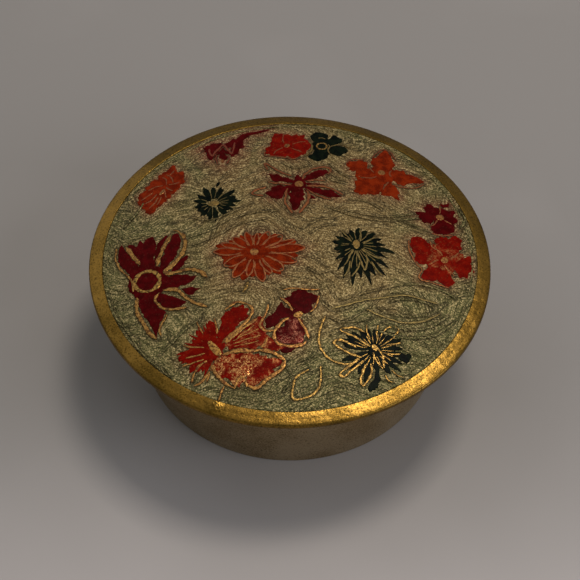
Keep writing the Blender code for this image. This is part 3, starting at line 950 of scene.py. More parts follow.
def nearest(points: np.ndarray, paths: list[tuple[np.ndarray, float]]) -> list[tuple[float, float]]:
    """Find the nearest path to each point.

    Args:
        points: Places to measure from, in millimetres.
        paths: Points along each path, and a value that goes with it.

    Returns:
        Distance to the nearest path and that path's value, for each point.
    """
    tree = KDTree(sum(len(path) for path, _ in paths))
    values = []
    for path, value in paths:
        for x, y in path:
            tree.insert((x, y, 0.0), len(values))
            values.append(value)
    tree.balance()
    found = (tree.find((x, y, 0.0)) for x, y, _ in points)
    return [(distance, values[index]) for _, index, distance in found]


@dataclass
class ChasedGround:
    """The mica enamel between the flowers, over its hand-chased strokes."""

    dome: Dome
    radius: float = 46.32 * MM
    below_dome: float = 0.12 * MM
    thickness: float = 0.9 * MM
    stroke_height: float = 0.07 * MM
    pebble_height: float = 0.10 * MM
    film_share: float = 0.95
    # Width of the painted shade beside each line, in millimetres.
    painted_shade_width: float = 0.36
    cells: int = 280
    # The pattern of the relief, and the height that parts the disc's top from its sides, in millimetres.
    sway: float = 10.0
    sway_size: float = 26.0
    stroke_length: float = 9.0
    stroke_spacing: float = 1.5
    pebble: float = 0.9
    sides_below: float = -0.5

    def disc(self) -> bpy.types.Mesh:
        """Draw a flat disc of even squares, closed below, as the guide.

        Returns:
            The guide mesh.
        """
        line = np.linspace(-1, 1, self.cells + 1)
        a, b = np.meshgrid(line, line, indexing="ij")
        wide = np.abs(a) >= np.abs(b)
        reach = np.where(wide, a, b)
        other = np.where(wide, b, a)
        with np.errstate(invalid="ignore", divide="ignore"):
            angle = np.where(reach != 0, other / reach * math.pi / 4, 0.0)
        x = np.where(wide, reach * np.cos(angle), reach * np.sin(angle)) * self.radius
        y = np.where(wide, reach * np.sin(angle), reach * np.cos(angle)) * self.radius
        side = self.cells + 1
        top = np.stack([x.ravel(), y.ravel(), np.full(side * side, -self.below_dome)], 1)
        number = np.arange(side * side).reshape(side, side)
        squares = [number[:-1, :-1], number[1:, :-1], number[1:, 1:], number[:-1, 1:]]
        quads = np.stack(squares, -1).reshape(-1, 4)
        edge = np.concatenate([number[:-1, 0], number[-1, :-1], number[:0:-1, -1], number[0, :0:-1]])
        lower = top[edge] - (0, 0, self.thickness)
        first = len(top)
        points = np.concatenate([top, lower, [(0, 0, -self.below_dome - self.thickness)]])
        faces = [tuple(int(corner) for corner in quad) for quad in quads]
        for index in range(len(edge)):
            after = (index + 1) % len(edge)
            faces.append((int(edge[after]), int(edge[index]), first + index, first + after))
            faces.append((first + after, first + index, len(points) - 1))
        mesh = bpy.data.meshes.new("ground_guide")
        mesh.from_pydata([tuple(point) for point in points.tolist()], [], faces)
        carry(mesh, "film", self.film(points))
        # Painted shade beside each brass line, where the enamel's step casts its thin shadow.
        carry(mesh, "painted_line_shade", self.painted_line_shade(points))
        return mesh

    def film(self, points: np.ndarray) -> list[float]:
        """Find how much red film, wiped out of the red flowers, lies on the ground.

        Args:
            points: The ground's points, in metres.

        Returns:
            A value for each point, 0 to 1.
        """
        red = [flower for flower in FLOWERS if flower.film]
        outlines = [(patch.outline(flower.middle), number) for number, flower in enumerate(red)
                    for patch in flower.patches]
        found = ((distance, red[number]) for distance, number in nearest(points / MM, outlines))
        return [self.film_share * flower.film * math.exp(-distance / flower.film_reach)
                for distance, flower in found]

    def painted_line_shade(self, points: np.ndarray) -> list[float]:
        """Find how dark the painted shade beside a brass line is.

        Args:
            points: The ground's points, in metres.

        Returns:
            A value for each point, 0 to 1.
        """
        lines = [line for flower in FLOWERS for line in flower.lines]
        lines += [*FINE_LINES.values(), *CHASED_STROKES]
        paths = [(drawn(line)[0], line.width / 2) for line in lines]
        return [math.exp(-(((distance - half_width) / self.painted_shade_width) ** 2))
                for distance, half_width in nearest(points / MM, paths)]

    def relief_tree(self) -> GeometryTree:
        """Raise the strokes and pebbles, and lay the disc on the dome.

        Returns:
            The tree.
        """
        nodes = GeometryTree("chased_relief")
        stroke_height = nodes.take("Stroke Height")
        pebble_height = nodes.take("Pebble Height")
        flow = nodes.plan.swayed(self.sway, self.sway_size)
        ridges = flow.combed(self.stroke_length, self.stroke_spacing)
        pebbles = nodes.plan.grain(self.pebble, 2.0)
        top = nodes.plan.axis("Z").sum("GREATER_THAN", self.sides_below)
        lift = (ridges - 1.0) * stroke_height + (pebbles - 0.55) * pebble_height
        offset = add_node(nodes.tree, "ShaderNodeCombineXYZ", {"Z": lift * top}).outputs[0]
        geometry = nodes.step("GeometryNodeSetPosition", nodes.geometry, {"Offset": offset})
        nodes.close(nodes.lay_on_dome(geometry))
        return nodes

    def build(self) -> bpy.types.Object:
        """Run the relief on the disc.

        Returns:
            The finished ground.
        """
        values = {**self.dome.inputs(Slot.GROUND), "Stroke Height": self.stroke_height,
                  "Pebble Height": self.pebble_height}
        piece = self.relief_tree().run(self.disc(), "chased_ground", values)
        return keep_piece(piece, Slot.GROUND, "lid", "ground_enamel")


class Form(Enum):
    """How a petal's width runs from root to tip: t ** root * (1 - t) ** tip."""

    POINTED = (0.75, 0.85)
    LEAF = (0.7, 0.62)


@dataclass(frozen=True)
class Petal:
    """A petal seen from its flower's middle: angle in degrees, then lengths in millimetres."""

    angle: float
    reach: float
    half_width: float
    form: Form = Form.LEAF
    start: float = 0.6
    bow: float = 0.0
    glitter: float = 0.0

    def outline(self, middle: Place) -> np.ndarray:
        """Draw the petal in the plan.

        Args:
            middle: The flower's middle, in millimetres.

        Returns:
            Points round the petal, in millimetres.
        """
        root, tip = self.form.value
        along = (1 - np.cos(np.linspace(0, math.pi, 13))) / 2
        width = along**root * (1 - along) ** tip
        width *= self.half_width / width.max()
        bowed = self.bow * 4 * along * (1 - along)
        u = np.concatenate([along, along[-2:0:-1]])
        v = np.concatenate([width + bowed, (bowed - width)[-2:0:-1]])
        reach = self.start + u * (self.reach - self.start)
        turn = math.radians(self.angle)
        x = middle[0] + reach * math.cos(turn) - v * math.sin(turn)
        y = middle[1] + reach * math.sin(turn) + v * math.cos(turn)
        return np.stack([x, y], 1)


def smooth_knots(knots: np.ndarray, closed: bool, spacing: float = 0.35) -> np.ndarray:
    """Points along a smooth curve through knots. A knot written twice is a sharp corner.

    Args:
        knots: The knots, in millimetres.
        closed: Whether the last knot joins the first.
        spacing: Distance between points, about.

    Returns:
        The points, in millimetres.
    """
    path = []
    count = len(knots)
    for index in range(count if closed else count - 1):
        ring = [knots[(index + shift) % count] if closed else knots[min(max(index + shift, 0), count - 1)]
                for shift in (-1, 0, 1, 2)]
        before, start, end, after = ring
        steps = int(np.linalg.norm(end - start) / spacing)
        if steps == 0 and np.allclose(start, end):
            continue
        for t in np.arange(max(steps, 1)) / max(steps, 1):
            slope_in, slope_out = (end - before) / 2, (after - start) / 2
            cubic = 2 * start - 2 * end + slope_in + slope_out
            square = 3 * end - 3 * start - 2 * slope_in - slope_out
            path.append(start + t * (slope_in + t * (square + t * cubic)))
    if not closed:
        path.append(knots[-1])
    return np.array(path)


@dataclass(frozen=True)
class Patch:
    """A patch of enamel of its own shape, as knots round it in millimetres in the plan."""

    knots: Table
    glitter: float = 0.0

    def outline(self, middle: Place) -> np.ndarray:
        """Points round the patch; the middle isn't needed."""
        return smooth_knots(np.array(self.knots, float), closed=True)


@dataclass(frozen=True)
class Line:
    """A raised brass line, as knots along it and its width, in millimetres."""

    width: float
    knots: Table
    closed: bool = False


def cell(*numbers: float, glitter: float = 0.0) -> Patch:
    """A patch from the X and Y of each of its knots in turn."""
    return Patch(tuple(zip(numbers[::2], numbers[1::2])), glitter)


def stroke(width: float, *numbers: float) -> Line:
    """A line from its width and the X and Y of each of its knots in turn."""
    return Line(width, tuple(zip(numbers[::2], numbers[1::2])))


def strokes(width: float, *lines: tuple[float, ...]) -> tuple[Line, ...]:
    """Lines of one width, each from the X and Y of its knots in turn."""
    return tuple(stroke(width, *numbers) for numbers in lines)


def circle(middle: Place, radius: float) -> Table:
    """Knots round a circle."""
    return oval(middle, radius, radius, 0.0)


def oval(middle: Place, half_length: float, half_width: float, angle: float, count: int = 12) -> Table:
    """Knots round an oval.

    Args:
        middle: Its middle, in millimetres.
        half_length: Half its long axis.
        half_width: Half its short axis.
        angle: Direction of the long axis, in degrees.
        count: How many knots it gets.

    Returns:
        The knots.
    """
    turn = math.radians(angle)
    knots = []
    for index in range(count):
        along = half_length * math.cos(math.tau * index / count)
        across = half_width * math.sin(math.tau * index / count)
        x = middle[0] + along * math.cos(turn) - across * math.sin(turn)
        y = middle[1] + along * math.sin(turn) + across * math.cos(turn)
        knots.append((x, y))
    return tuple(knots)


def lenses(middle: Place, width: float, *petals: tuple[float, float, float]) -> tuple[Line, ...]:
    """Lines that run up both sides of petals and meet at their tips.

    Args:
        middle: The flower's middle, in millimetres.
        width: Width of the lines.
        *petals: Angle, reach and half width of each petal.

    Returns:
        One open line for each petal.
    """
    lines = []
    for angle, reach, half_width in petals:
        outline = Petal(angle, reach, half_width, Form.LEAF, start=LENS_START * reach).outline(middle)
        lines.append(Line(width, tuple(map(tuple, np.roll(outline, -2, axis=0)[:-3]))))
    return tuple(lines)


def narrow(half_width: float, *tips: Place, form: Form = Form.LEAF, start: float = 0.6) -> tuple[Petal, ...]:
    """Petals of one width, from pairs of angle and reach."""
    return tuple(Petal(angle, reach, half_width, form, start) for angle, reach in tips)


@dataclass(frozen=True)
class Flower:
    """One flower: its enamel patches and petals, its raised lines and the brass in its middle."""

    name: str
    slot: Slot
    middle: Place
    patches: tuple[Petal | Patch, ...]
    lines: tuple[Line, ...] = ()
    heart: Table = ()
    ring_width: float = 0.0
    eye: Table = ()
    ragged: float = 0.22
    film: float = 0.0
    film_reach: float = 1.5
    veil: float = 0.0
    gap_width: float = 0.0


FLOWERS = (
    Flower(
        "crimson_lily", Slot.CRIMSON, (-34.6, -9.3), film=0.2, heart=circle((-34.7, -9.3), 3.1),
        ring_width=1.05, eye=circle((-34.7, -9.3), 2.7),
        patches=(
            cell(-41.8, 3.5, -41.8, 3.5, -40.9, 1.4, -39, -1.2, -37.2, -4, -36.2, -6, -38.2, -7.4,
                -40.7, -4.8, -42.2, -2.2, -42.5, 1),
            cell(-40.1, 2.6, -39, 2.9, -38.1, 1.9, -38.1, 1.9, -37.3, 3.9, -36.4, 3.1, -36.4, 3.1, -35.3, 4.5,
                -34.2, 4.7, -33.3, 3.2, -32.9, 1, -33.3, -2, -33.4, -5.8, -36.2, -5.8, -37.2, -3.4,
                -38.8, -0.6),
            cell(-33, 0.8, -32, 3.8, -30.1, 5.3, -30.1, 5.3, -31.4, 1.8, -33, -3.8),
            cell(-28.3, 5.7, -28.3, 5.7, -27.3, 4.2, -26.9, 1.8, -27.4, -0.6, -28.6, -3.2, -30.4, -5.8,
                -31.9, -5.6, -31.4, -1.8, -30.1, 1.8, -29.2, 4.2),
            cell(-28.9, -6.7, -27.3, -3.8, -25.3, -2, -25.3, -2, -25.3, -3.8, -26.6, -5.7),
            cell(-31, -8.9, -28.6, -8.3, -25.7, -7.9, -22.6, -8.8, -22.6, -8.8, -23.6, -10.2, -25.2, -11.4,
                -27.9, -12, -31, -11.8),
            cell(-26.4, -12.4, -24.3, -12, -21.6, -12.6, -21.6, -12.6, -23.6, -14.4, -25.2, -13.6),
            cell(-32.2, -14.4, -31.1, -13.2, -28.6, -14.2, -24.9, -16.1, -24.9, -16.1, -27, -17.9,
                -29.6, -17.5, -31.4, -16.2),
            cell(-36.6, -13, -35.9, -17.9, -34.4, -20.2, -33.1, -22.8, -31.6, -25.6, -31.6, -25.6, -31, -22.2,
                -29.7, -19.4, -30.4, -18.4, -32.2, -16.2, -32.8, -13),
            Patch(circle((-34.6, -9.3), 5)),
        ),
        lines=(
            *strokes(1.05, (-40.7, 2.3, -38.9, -0.6, -36.8, -3.8),
                (-29.6, 4.6, -31.2, 1, -32, -1.8, -32.6, -4.8)),
            stroke(1, -26.7, 5.2, -25.9, 2, -26.4, -1.4, -28.2, -4.4, -30.4, -6.6, -29.4, -7.4, -27, -7,
                -24.4, -6.6, -21.8, -7.6, -20, -9.4),
            stroke(0.95, -30.6, -12.3, -27.4, -12.6, -25.4, -14.6, -22.8, -16.8, -19.8, -18),
            stroke(0.7, -31.6, -13, -32.5, -14.8, -31, -17.2, -28.8, -18.2, -24.8, -18),
            stroke(1, -36.9, -14, -36.8, -17.6, -35.2, -21.2, -33.3, -24.4, -31.6, -26.2),
            *strokes(0.5, (-30.6, -25.4, -30.9, -23.2, -29.4, -19.6),
                (-43, 2.2, -42.9, -1.8, -41.2, -5.2, -38.6, -8.6, -38, -12)),
            stroke(0.4, -29, 6.2, -27.8, 6, -26.7, 4),
        ),
    ),
    Flower(
        "orange_aster", Slot.ORANGE, (-32.6, 20.9), film=0.8, ragged=0.5,
        heart=oval((-32.5, 20.4), 1.3, 0.55, 60),
        patches=(
            cell(-38.9, 18.6, -38.6, 20.4, -36.7, 22.1, -35.1, 24.8, -33.3, 27.4, -31.3, 29.2, -29.9, 29.8,
                -28.6, 27.7, -27, 25.8, -27, 23.6, -28.1, 21.6, -29.4, 19.6, -31.3, 16.9, -33.3, 15,
                -34.1, 13.6, -35.8, 12.9, -36.8, 14.4, -38.1, 16.1),
        ),
        lines=(
            *strokes(0.34, (-31.9, 27, -30.6, 25.8, -29.9, 23.6), (-33, 26.2, -31.8, 25, -31.6, 23),
                (-36.3, 21.4, -34.4, 22.6, -32.6, 22.8), (-37.9, 18, -36.4, 19.2, -35, 20.6),
                (-36.8, 16.6, -35.2, 17.8, -33.8, 19.8), (-35.6, 14.6, -34.4, 16.4, -33.4, 18.6),
                (-33.6, 15.9, -33, 17.2, -32.7, 18.6), (-31.4, 18.2, -31.8, 20, -32, 21.2),
                (-29.9, 20.6, -31, 21.4, -31.6, 22.2), (-28.2, 23.8, -29.6, 23, -31, 23)),
            stroke(0.3, -29.9, 28.6, -30.4, 27.2, -31.6, 26.2),
        ),
    ),
    Flower(
        "crimson_carnation", Slot.CRIMSON, (-17.5, 33), film=1.0, film_reach=3.2, ragged=0.45,
        heart=oval((-17.5, 30.9), 0.55, 0.4, 90),
        patches=(
            cell(-23.4, 36, -22, 37.4, -19.6, 38.4, -17.6, 38.2, -18.6, 35.6, -19.6, 32.8, -20.4, 31.5,
                -21.7, 32.8, -22.1, 34.8),
            cell(-20, 38.2, -17, 38.4, -14.4, 39, -14.6, 36.6, -16, 36.2, -17.4, 37.2, -18.8, 35.8),
            cell(-15.8, 38.6, -13.4, 40.6, -12.7, 38.8, -12.9, 35.8, -14.3, 33, -15.5, 33.4, -15.2, 36),
            cell(-14.2, 39.6, -12.9, 41.8, -9, 43, -5.4, 43.9, -5.4, 43.9, -7.4, 42.5, -10.8, 41.1,
                -12.8, 38.8),
            cell(-17.6, 34.4, -16.4, 32.6, -17.5, 30, -17.5, 30, -18.6, 32.4),
            cell(-19.8, 32.4, -18.6, 35.2, -17.4, 36.6, -16.4, 35.2, -15.2, 33.2, -17.5, 34.6),
        ),
        lines=(
            stroke(0.5, -21, 36.2, -20.9, 34.6, -20.2, 33.2, -19, 35.4, -17.5, 37.6, -16.3, 35.6, -15.2, 33.7,
                -14.7, 35.6, -14.5, 38.4),
            *strokes(0.3, (-18.9, 33.4, -19.2, 31.8, -18.6, 29.6), (-16.2, 33.2, -15.8, 31.6, -16.3, 29.4)),
        ),
    ),
    Flower(
        "dark_daisy", Slot.GREEN, (-19.3, 14.8), veil=0.95, gap_width=0.2, ragged=0.3,
        heart=oval((-19.3, 14.8), 1.55, 1.05, 10),
        patches=(
            *narrow(0.74, (114, 6.2), (92, 5.8), (69, 6.1), (41, 7.1), (20, 6.1), (6, 6.9), (-10, 5.8),
                (-28, 5.2), (-50, 5.6), (-82, 6.2), (-100, 6), (-125, 5), (-146, 4.9), (-170, 4.8),
                (165, 5.4), (137, 5.3), start=1.6),
            cell(-18.8, 20.8, -18.4, 22.6, -17.6, 22.9, -18, 21.2),
            cell(-22.6, 15.2, -23.2, 13.6, -21.2, 11.8, -19.2, 11.2, -19.6, 13.4, -21.2, 14.6),
        ),
    ),
    Flower(
        "scarlet_primrose", Slot.RED, (-0.8, 36.4), film=0.8, ragged=0.45, heart=circle((-0.8, 36.4), 0.8),
        patches=(
            cell(-4.9, 37.6, -4.4, 40.4, -3.8, 41.8, -1.7, 42, 1.3, 41.6, 3.4, 41.3, 4.5, 38.8, 5.4, 36.2,
                4.5, 34.2, 2.8, 33.2, 1.8, 31.4, 0, 31.6, -2.7, 32.3, -6.3, 32.6, -6.2, 35.2, -5.4, 36.6),
        ),
        lines=(
            *strokes(0.3, (-1.6, 37.6, -1.9, 39.6, -1.7, 41.6), (0.6, 37, 2.4, 38, 4.2, 38.2),
                (0.4, 35.4, 1.8, 34.6, 3.2, 33.8), (-1.8, 35.6, -3.4, 34.6, -4.2, 33)),
            stroke(0.35, -6.5, 34.4, -6.4, 32.4, -2.8, 31.9, 0.4, 31, 2.2, 31.6),
        ),
    ),
    Flower(
        "green_primrose", Slot.GREEN, (8.3, 36.4), veil=0.7, heart=circle((8.3, 36.4), 1.35), ring_width=0.45,
        patches=(
            cell(5.2, 40.6, 6.2, 42, 9.2, 42.1, 9.9, 40.2, 9.4, 38.4, 7.4, 38, 5.8, 38.6),
            cell(10.4, 40.2, 11.8, 41.1, 13.4, 40.2, 13.3, 38.5, 11.4, 37.4, 10.2, 37.6),
            cell(10.2, 35.6, 12.6, 36.9, 15, 35.8, 14.5, 33.9, 12.1, 32.8, 10.4, 34),
            cell(6.8, 34.9, 9.2, 34.7, 9.9, 32.6, 8, 30.4, 5.6, 30.9, 4.6, 32, 5.8, 33.6),
            Patch(circle((8.3, 36.4), 2.6)),
        ),
        lines=(
            *strokes(0.4, (5, 38.4, 5.7, 36.6, 5.6, 34.6, 3.9, 32), (7.3, 39.7, 8.3, 40, 9.3, 39.6)),
            stroke(0.35, 10, 37.2, 10.3, 36.2, 9.9, 34.9, 10.1, 33.4),
            stroke(0.3, 10.4, 36.3, 12.4, 37.3, 14.4, 37, 15.6, 35.8),
        ),
    ),
    Flower(
        "crimson_star", Slot.CRIMSON, (2.3, 21.1), film=0.75, ragged=0.3, heart=circle((2.3, 21.1), 1.25),
        patches=(
            cell(3.3, 22.4, 3.9, 24, 5.7, 25.8, 8.6, 26.9, 9.9, 26.3, 8.9, 24.9, 6.4, 23.3),
            cell(3.6, 20.4, 6.8, 19.8, 10, 18.9, 12.9, 17, 12.9, 17, 10.7, 16.3, 7.5, 17.4, 4.6, 18.8),
            cell(0.8, 19.9, 2.2, 20.2, 3.5, 19.4, 3.8, 17.1, 2.9, 14.3, 1.4, 11.5, 1.4, 11.5, 0.2, 13.2,
                -0.1, 16.4),
            cell(1.2, 20.4, -2.8, 20.5, -5.6, 18.8, -5.6, 16.6, -3.2, 15.6, -0.8, 17.3),
            cell(1.4, 21.7, -1.2, 23.8, -4, 24.8, -5.9, 25.2, -5.9, 25.2, -4.8, 23.3, -2.6, 21.8),
            cell(1.2, 22.3, 1.5, 24.4, 2.2, 24.9, 2.9, 24.2, 3.2, 22.3),
            cell(3.6, 21.6, 6.4, 21.5, 9.4, 21.1, 9.4, 21.1, 6.4, 21, 3.6, 21),
            cell(3.9, 19, 5, 17.4, 6.4, 16.2, 5.2, 16, 4.3, 17.2), Patch(circle((2.3, 21.1), 2.1)),
        ),
        lines=(
            stroke(0.62, 3.2, 22.9, 3.6, 24.6, 5.6, 26.8, 8.8, 27.8, 10.4, 26.9, 9.6, 25),
            stroke(0.5, 4.4, 22.4, 6.6, 22.7, 8.9, 22.5),
            stroke(0.7, 4.2, 20.5, 7.4, 20.6, 10.8, 19.4, 13.4, 17.4),
            stroke(0.62, -0.6, 19.4, -1, 17.6, -1.1, 14.2, 0.6, 10.6),
            stroke(0.75, 4.2, 18.9, 4.7, 17, 4.4, 14.6, 2.3, 10.6),
            stroke(0.45, 4.2, 19.4, 5.6, 18, 7.4, 16.7, 10.4, 15.7),
            stroke(0.6, -5.8, 26.6, -6.3, 29.2, -3, 26.2, 0.4, 24.2),
            stroke(0.5, -5.6, 22, -2.2, 21.1, 0.4, 20.8),
            stroke(0.55, -6, 20.1, -8.6, 19, -9.6, 17.6, -6.6, 16.9),
        ),
    ),
    Flower(
        "orange_star", Slot.ORANGE, (22.8, 25.6), film=0.8, ragged=0.4, heart=circle((23.5, 26.8), 0.95),
        patches=(
            cell(21.8, 29.6, 21.5, 31.8, 23.2, 34.3, 24.6, 35.7, 26.1, 34.3, 26.9, 32.1, 27.1, 30.2,
                25.2, 28.2, 22.8, 27.6),
            cell(26.6, 27, 28.9, 28.3, 31.4, 26.9, 34.4, 24.9, 34.4, 24.3, 31.8, 23.5, 28.6, 22.6, 26.6, 23.8,
                25.6, 25.6),
            cell(25, 22.6, 26.9, 21.4, 27.6, 19.6, 27.7, 16.9, 27.7, 16.9, 25.4, 18, 23.4, 18.5, 23, 20.4),
            cell(17, 24.4, 16.6, 22.5, 16.3, 20.3, 17.3, 18.4, 20, 18.2, 22.6, 19, 23.2, 21, 22, 23.4,
                19.6, 24.2),
            cell(14.8, 29, 16.1, 30.7, 19.6, 30.8, 20, 28.6, 20.6, 26.8, 19.9, 25, 17.7, 24.8, 16.2, 26.4),
            Patch(circle((22.8, 25.4), 3.9)),
        ),
        lines=(
            *strokes(0.4, (20.4, 28.6, 21, 27.2, 21.6, 26.6), (26.2, 28, 25.6, 26.6, 25.9, 25.4),
                (23.6, 20.2, 24.2, 21.8, 25.2, 23.4)),
            stroke(0.35, 18.6, 24.4, 20.6, 24.4, 22.2, 25),
            stroke(0.4, 26.4, 22.3, 30, 21.5, 32.6, 22.2, 34.4, 23.8),
            *strokes(0.35, (14.5, 29.4, 15.9, 31.3, 19, 31.5),
                (21.2, 32.4, 22.8, 34.8, 24.6, 36.3, 26.4, 34.8, 27.4, 32.2)),
        ),
    ),
    Flower(
        "crimson_violet", Slot.CRIMSON, (37.7, 12), film=0.8, film_reach=2.0, ragged=0.45,
        heart=circle((37.7, 12), 1),
        patches=(
            cell(32, 13, 33.8, 13.6, 34.4, 15.8, 37.2, 15.6, 37.2, 13, 36.2, 11, 34.3, 9.2, 32, 11),
            cell(37.8, 13.6, 39.2, 15.2, 41.4, 14, 41.9, 11.4, 40.8, 10.3, 38.8, 11.2),
            cell(36.4, 9.8, 38.8, 10.6, 41, 9.4, 40.8, 7.2, 37.5, 6.2, 35.3, 7.4),
            cell(38.1, 16.6, 39.6, 17, 40.7, 17.8, 40.2, 16, 38.8, 15.6), Patch(circle((37.7, 11.8), 1.9)),
        ),
        lines=(
            *strokes(0.35, (37.6, 13.2, 38, 14.6, 38, 16.4), (37, 10.8, 36.2, 9.4, 34.9, 8.4),
                (38.7, 11.2, 39.6, 10.5, 40.6, 10)),
            stroke(0.4, 35.2, 6.2, 37.6, 5.6, 40.6, 6.4),
        ),
    ),
    Flower(
        "scarlet_hibiscus", Slot.RED, (38, -2.3), film=0.7, ragged=0.4, heart=circle((38, -2.3), 1),
        patches=(
            cell(30, 3.9, 33.6, 4, 34.4, 2, 34.8, -0.4, 33.9, -3.2, 31.4, -3.8, 30.3, -1.4, 29.8, 1.4),
            cell(35.9, 3.4, 36.8, 5.2, 39.6, 5.7, 42, 5.4, 42.6, 2.5, 40, 0.6, 36.8, 1),
            cell(40.2, -2.1, 42.5, -0.6, 44.9, 0.2, 45.1, -2.1, 44.9, -5, 43.9, -6.6, 41.4, -6.9, 40.2, -4.6),
            cell(33, -5.4, 35.4, -4.2, 37.5, -3.7, 39.7, -6.8, 39.4, -8.6, 38.7, -10.2, 35.7, -9.3, 32, -8.7,
                32.4, -6.4),
            Patch(circle((38, -1.8), 5), glitter=0.2),
        ),
        lines=(
            stroke(0.5, 34.6, 3.6, 35.4, 1.4, 36.8, 0.4, 37.4, -1),
            *strokes(0.4, (34, -4.2, 35.6, -2.8, 36.6, -2.4), (37.9, -3.8, 39, -5.6, 40.3, -6.8),
                (39.4, -1.6, 40.6, -0.6, 41.8, 0.8), (36, 2.4, 35.8, 0.9, 36.9, 0.6)),
            stroke(0.35, 29.4, 3.2, 29.4, -0.4, 30.9, -4.2, 32.2, -6, 31.5, -8.8, 35.4, -9.9, 38.8, -10.8),
        ),
    ),
    Flower(
        "orange_chrysanthemum", Slot.ORANGE, (-8.7, -2.1), film=0.75, ragged=0.3,
        heart=circle((-8.7, -2.1), 1.05),
        patches=(
            *narrow(1.35, (6, 12.6), (-7, 11), (-20, 10.8), (-35, 8.8), (-47, 9.6), (-62, 8.2), (-76, 9.2),
                (-92, 7.8), (-106, 8.6), (-123, 9.4), (-140, 7.8), (-155, 8.6), (-169, 8.2), (178, 9.8),
                (166, 9.6), (152, 7.6), (136, 7.2), (121, 6.2), (106, 6.6), (90, 5.8), (75, 6.6), (60, 6.4),
                (45, 7.8), (31, 8.2), (18, 10.4), form=Form.LEAF, start=1.6),
            Patch(oval((-8, -2.5), 7.4, 5, 0)),
        ),
        lines=lenses((-8.7, -2.1), 0.36, (6, 12.4, 1.4), (-17, 10.8, 1.2), (-40, 9.2, 1.4), (-58, 8, 0.7),
            (-77, 9.4, 1.1), (-101, 7.6, 0.8), (-123, 9.2, 1.3), (-150, 8.4, 1.2), (177, 10, 1.2),
            (160, 8.8, 0.8), (138, 7.2, 1.1), (109, 6.8, 0.8), (84, 6, 0.6), (61, 7.2, 1), (37, 8.6, 1.2),
            (21, 10.6, 0.7)),
    ),
    Flower(
        "green_chrysanthemum", Slot.GREEN, (16.3, 0.4), veil=0.95, gap_width=0.2, ragged=0.25,
        heart=oval((16.3, 0.6), 1.5, 0.85, 95),
        patches=(
            *narrow(0.76, (172, 6), (194, 5.8), (152, 5.6), (128, 6), (106, 5.6), (84, 5.8), (62, 5.8),
                (40, 6.6), (21, 6.6), (5, 7.4), (-10, 9.6), (-25, 8.2), (-40, 10.2), (-53, 11.6), (-64, 10.4),
                (-74, 12.4), (-85, 10.6), (-96, 12), (-108, 11.4), (-121, 9.4), (-137, 6.8), (-153, 5.2),
                form=Form.POINTED, start=1.2),
            Patch(oval((17, -1.2), 2.6, 1.9, -75)),
        ),
        lines=(
            stroke(0.42, 16.1, -1.4, 17.2, -4.4, 18.2, -7.4, 18.9, -4.6, 18.5, -2.4),
            *strokes(0.38, (15.4, -1, 14.4, -3.6, 13.2, -6.2), (17.6, -0.8, 20, -2.6, 22.2, -3.6),
                (15.2, 1.4, 13.9, 3.4, 12.6, 5), (17.2, 1.6, 17.5, 3.6, 17.4, 5.6),
                (18, 1, 19.8, 2.4, 21.2, 3.4), (17, -4.8, 16.4, -7.2, 15, -9.4),
                (19.8, -4.6, 20.8, -6.6, 22.2, -8.6), (14.6, -4.6, 14.2, -7.4, 13, -9.6)),
        ),
    ),
    Flower(
        "red_poppy", Slot.RED, (-17.7, -29.6), film=0.3, ragged=0.4,
        heart=oval((-17.8, -29.7), 2.5, 0.95, -56),
        patches=(
            cell(-15.9, -28, -17, -26.8, -16.8, -23.4, -15.2, -19.8, -13.2, -18.3, -10.5, -18.5, -10.1, -20.4,
                -12.1, -23.9, -14.3, -26.8),
            cell(-15.6, -29.2, -12.9, -26.1, -9.6, -23, -7, -21.3, -6.2, -23.6, -5.6, -26.4, -6.9, -29.4,
                -10, -30.4, -14.3, -30.2, glitter=0.25),
            cell(-6.2, -26.4, -4.6, -27.4, -2.6, -29.2, 0.4, -29.6, 0.8, -30.4, -2.6, -31, -6.4, -30,
                glitter=0.5),
            cell(-17.9, -33.6, -16.4, -31.8, -11.4, -31.2, -9, -31.5, -8.8, -34.5, -9.4, -37, -10.8, -38.4,
                -12.1, -39.6, -13.9, -38.4, -15.8, -37.9, -17.6, -35.7, glitter=0.95),
            cell(-9.8, -31.4, -5.4, -32, -1.9, -33.3, -3.6, -36.1, -6.4, -38.6, -8.2, -39.8, -10.2, -38.6,
                -9.6, -36, -9.8, -33.4, glitter=0.42),
            *narrow(0.6, (187, 8.6), (204, 9.4), (167, 6.9), (146, 6.8), (221, 8.4), (236, 7.6), (124, 7),
                (107, 7.6), (92, 7.2), (252, 7.4), form=Form.POINTED, start=1.0),
            Petal(197, 9.5, 1.1, start=1.0), Petal(212, 7.6, 0.9, start=1.0), Petal(176, 7, 0.9, start=1.0),
            Petal(158, 5.9, 1, start=0.8), Petal(134, 6.4, 1.1, start=0.8), Petal(114, 6.8, 0.8, start=0.8),
            Petal(100, 7.9, 1.1, start=0.8), Petal(228, 8.4, 0.7, start=1.2), Petal(244, 6.6, 0.7, start=1.2),
            Patch(circle((-18.1, -30), 2.6)),
        ),
        lines=(
            stroke(0.75, -9.8, -18, -8.9, -20, -10.7, -23.2, -14.3, -26.6, -16, -28.4),
            stroke(0.55, -15.4, -19.2, -12.6, -17.2, -9.8, -18),
            stroke(0.75, -15.2, -28.4, -12, -25.4, -7.8, -21.9),
            stroke(0.95, -16, -31.6, -12.5, -30.6, -8.6, -30.8, -6.4, -30.6, -2.8, -32, -1.1, -33.5),
            stroke(0.9, -1.1, -33.5, -2.1, -35.7, -5, -37.9, -7.6, -40.4, -9.8, -39.6),
            stroke(0.75, -18.3, -33.4, -17.4, -36.2, -15.1, -38.9, -13, -40.2),
            stroke(0.6, -13, -40.4, -12, -38, -11.2, -37.4, -10.4, -38.2, -10, -40),
            stroke(0.45, -25.2, -34, -22.8, -33.4, -20.2, -32.4),
            *strokes(0.5, (-22.9, -38.2, -21.8, -35, -19.4, -32.8),
                (-22.2, -39.4, -20.2, -37.8, -18.7, -35.8)),
            stroke(0.4, -19.4, -38.4, -18.9, -37, -18.9, -35.8),
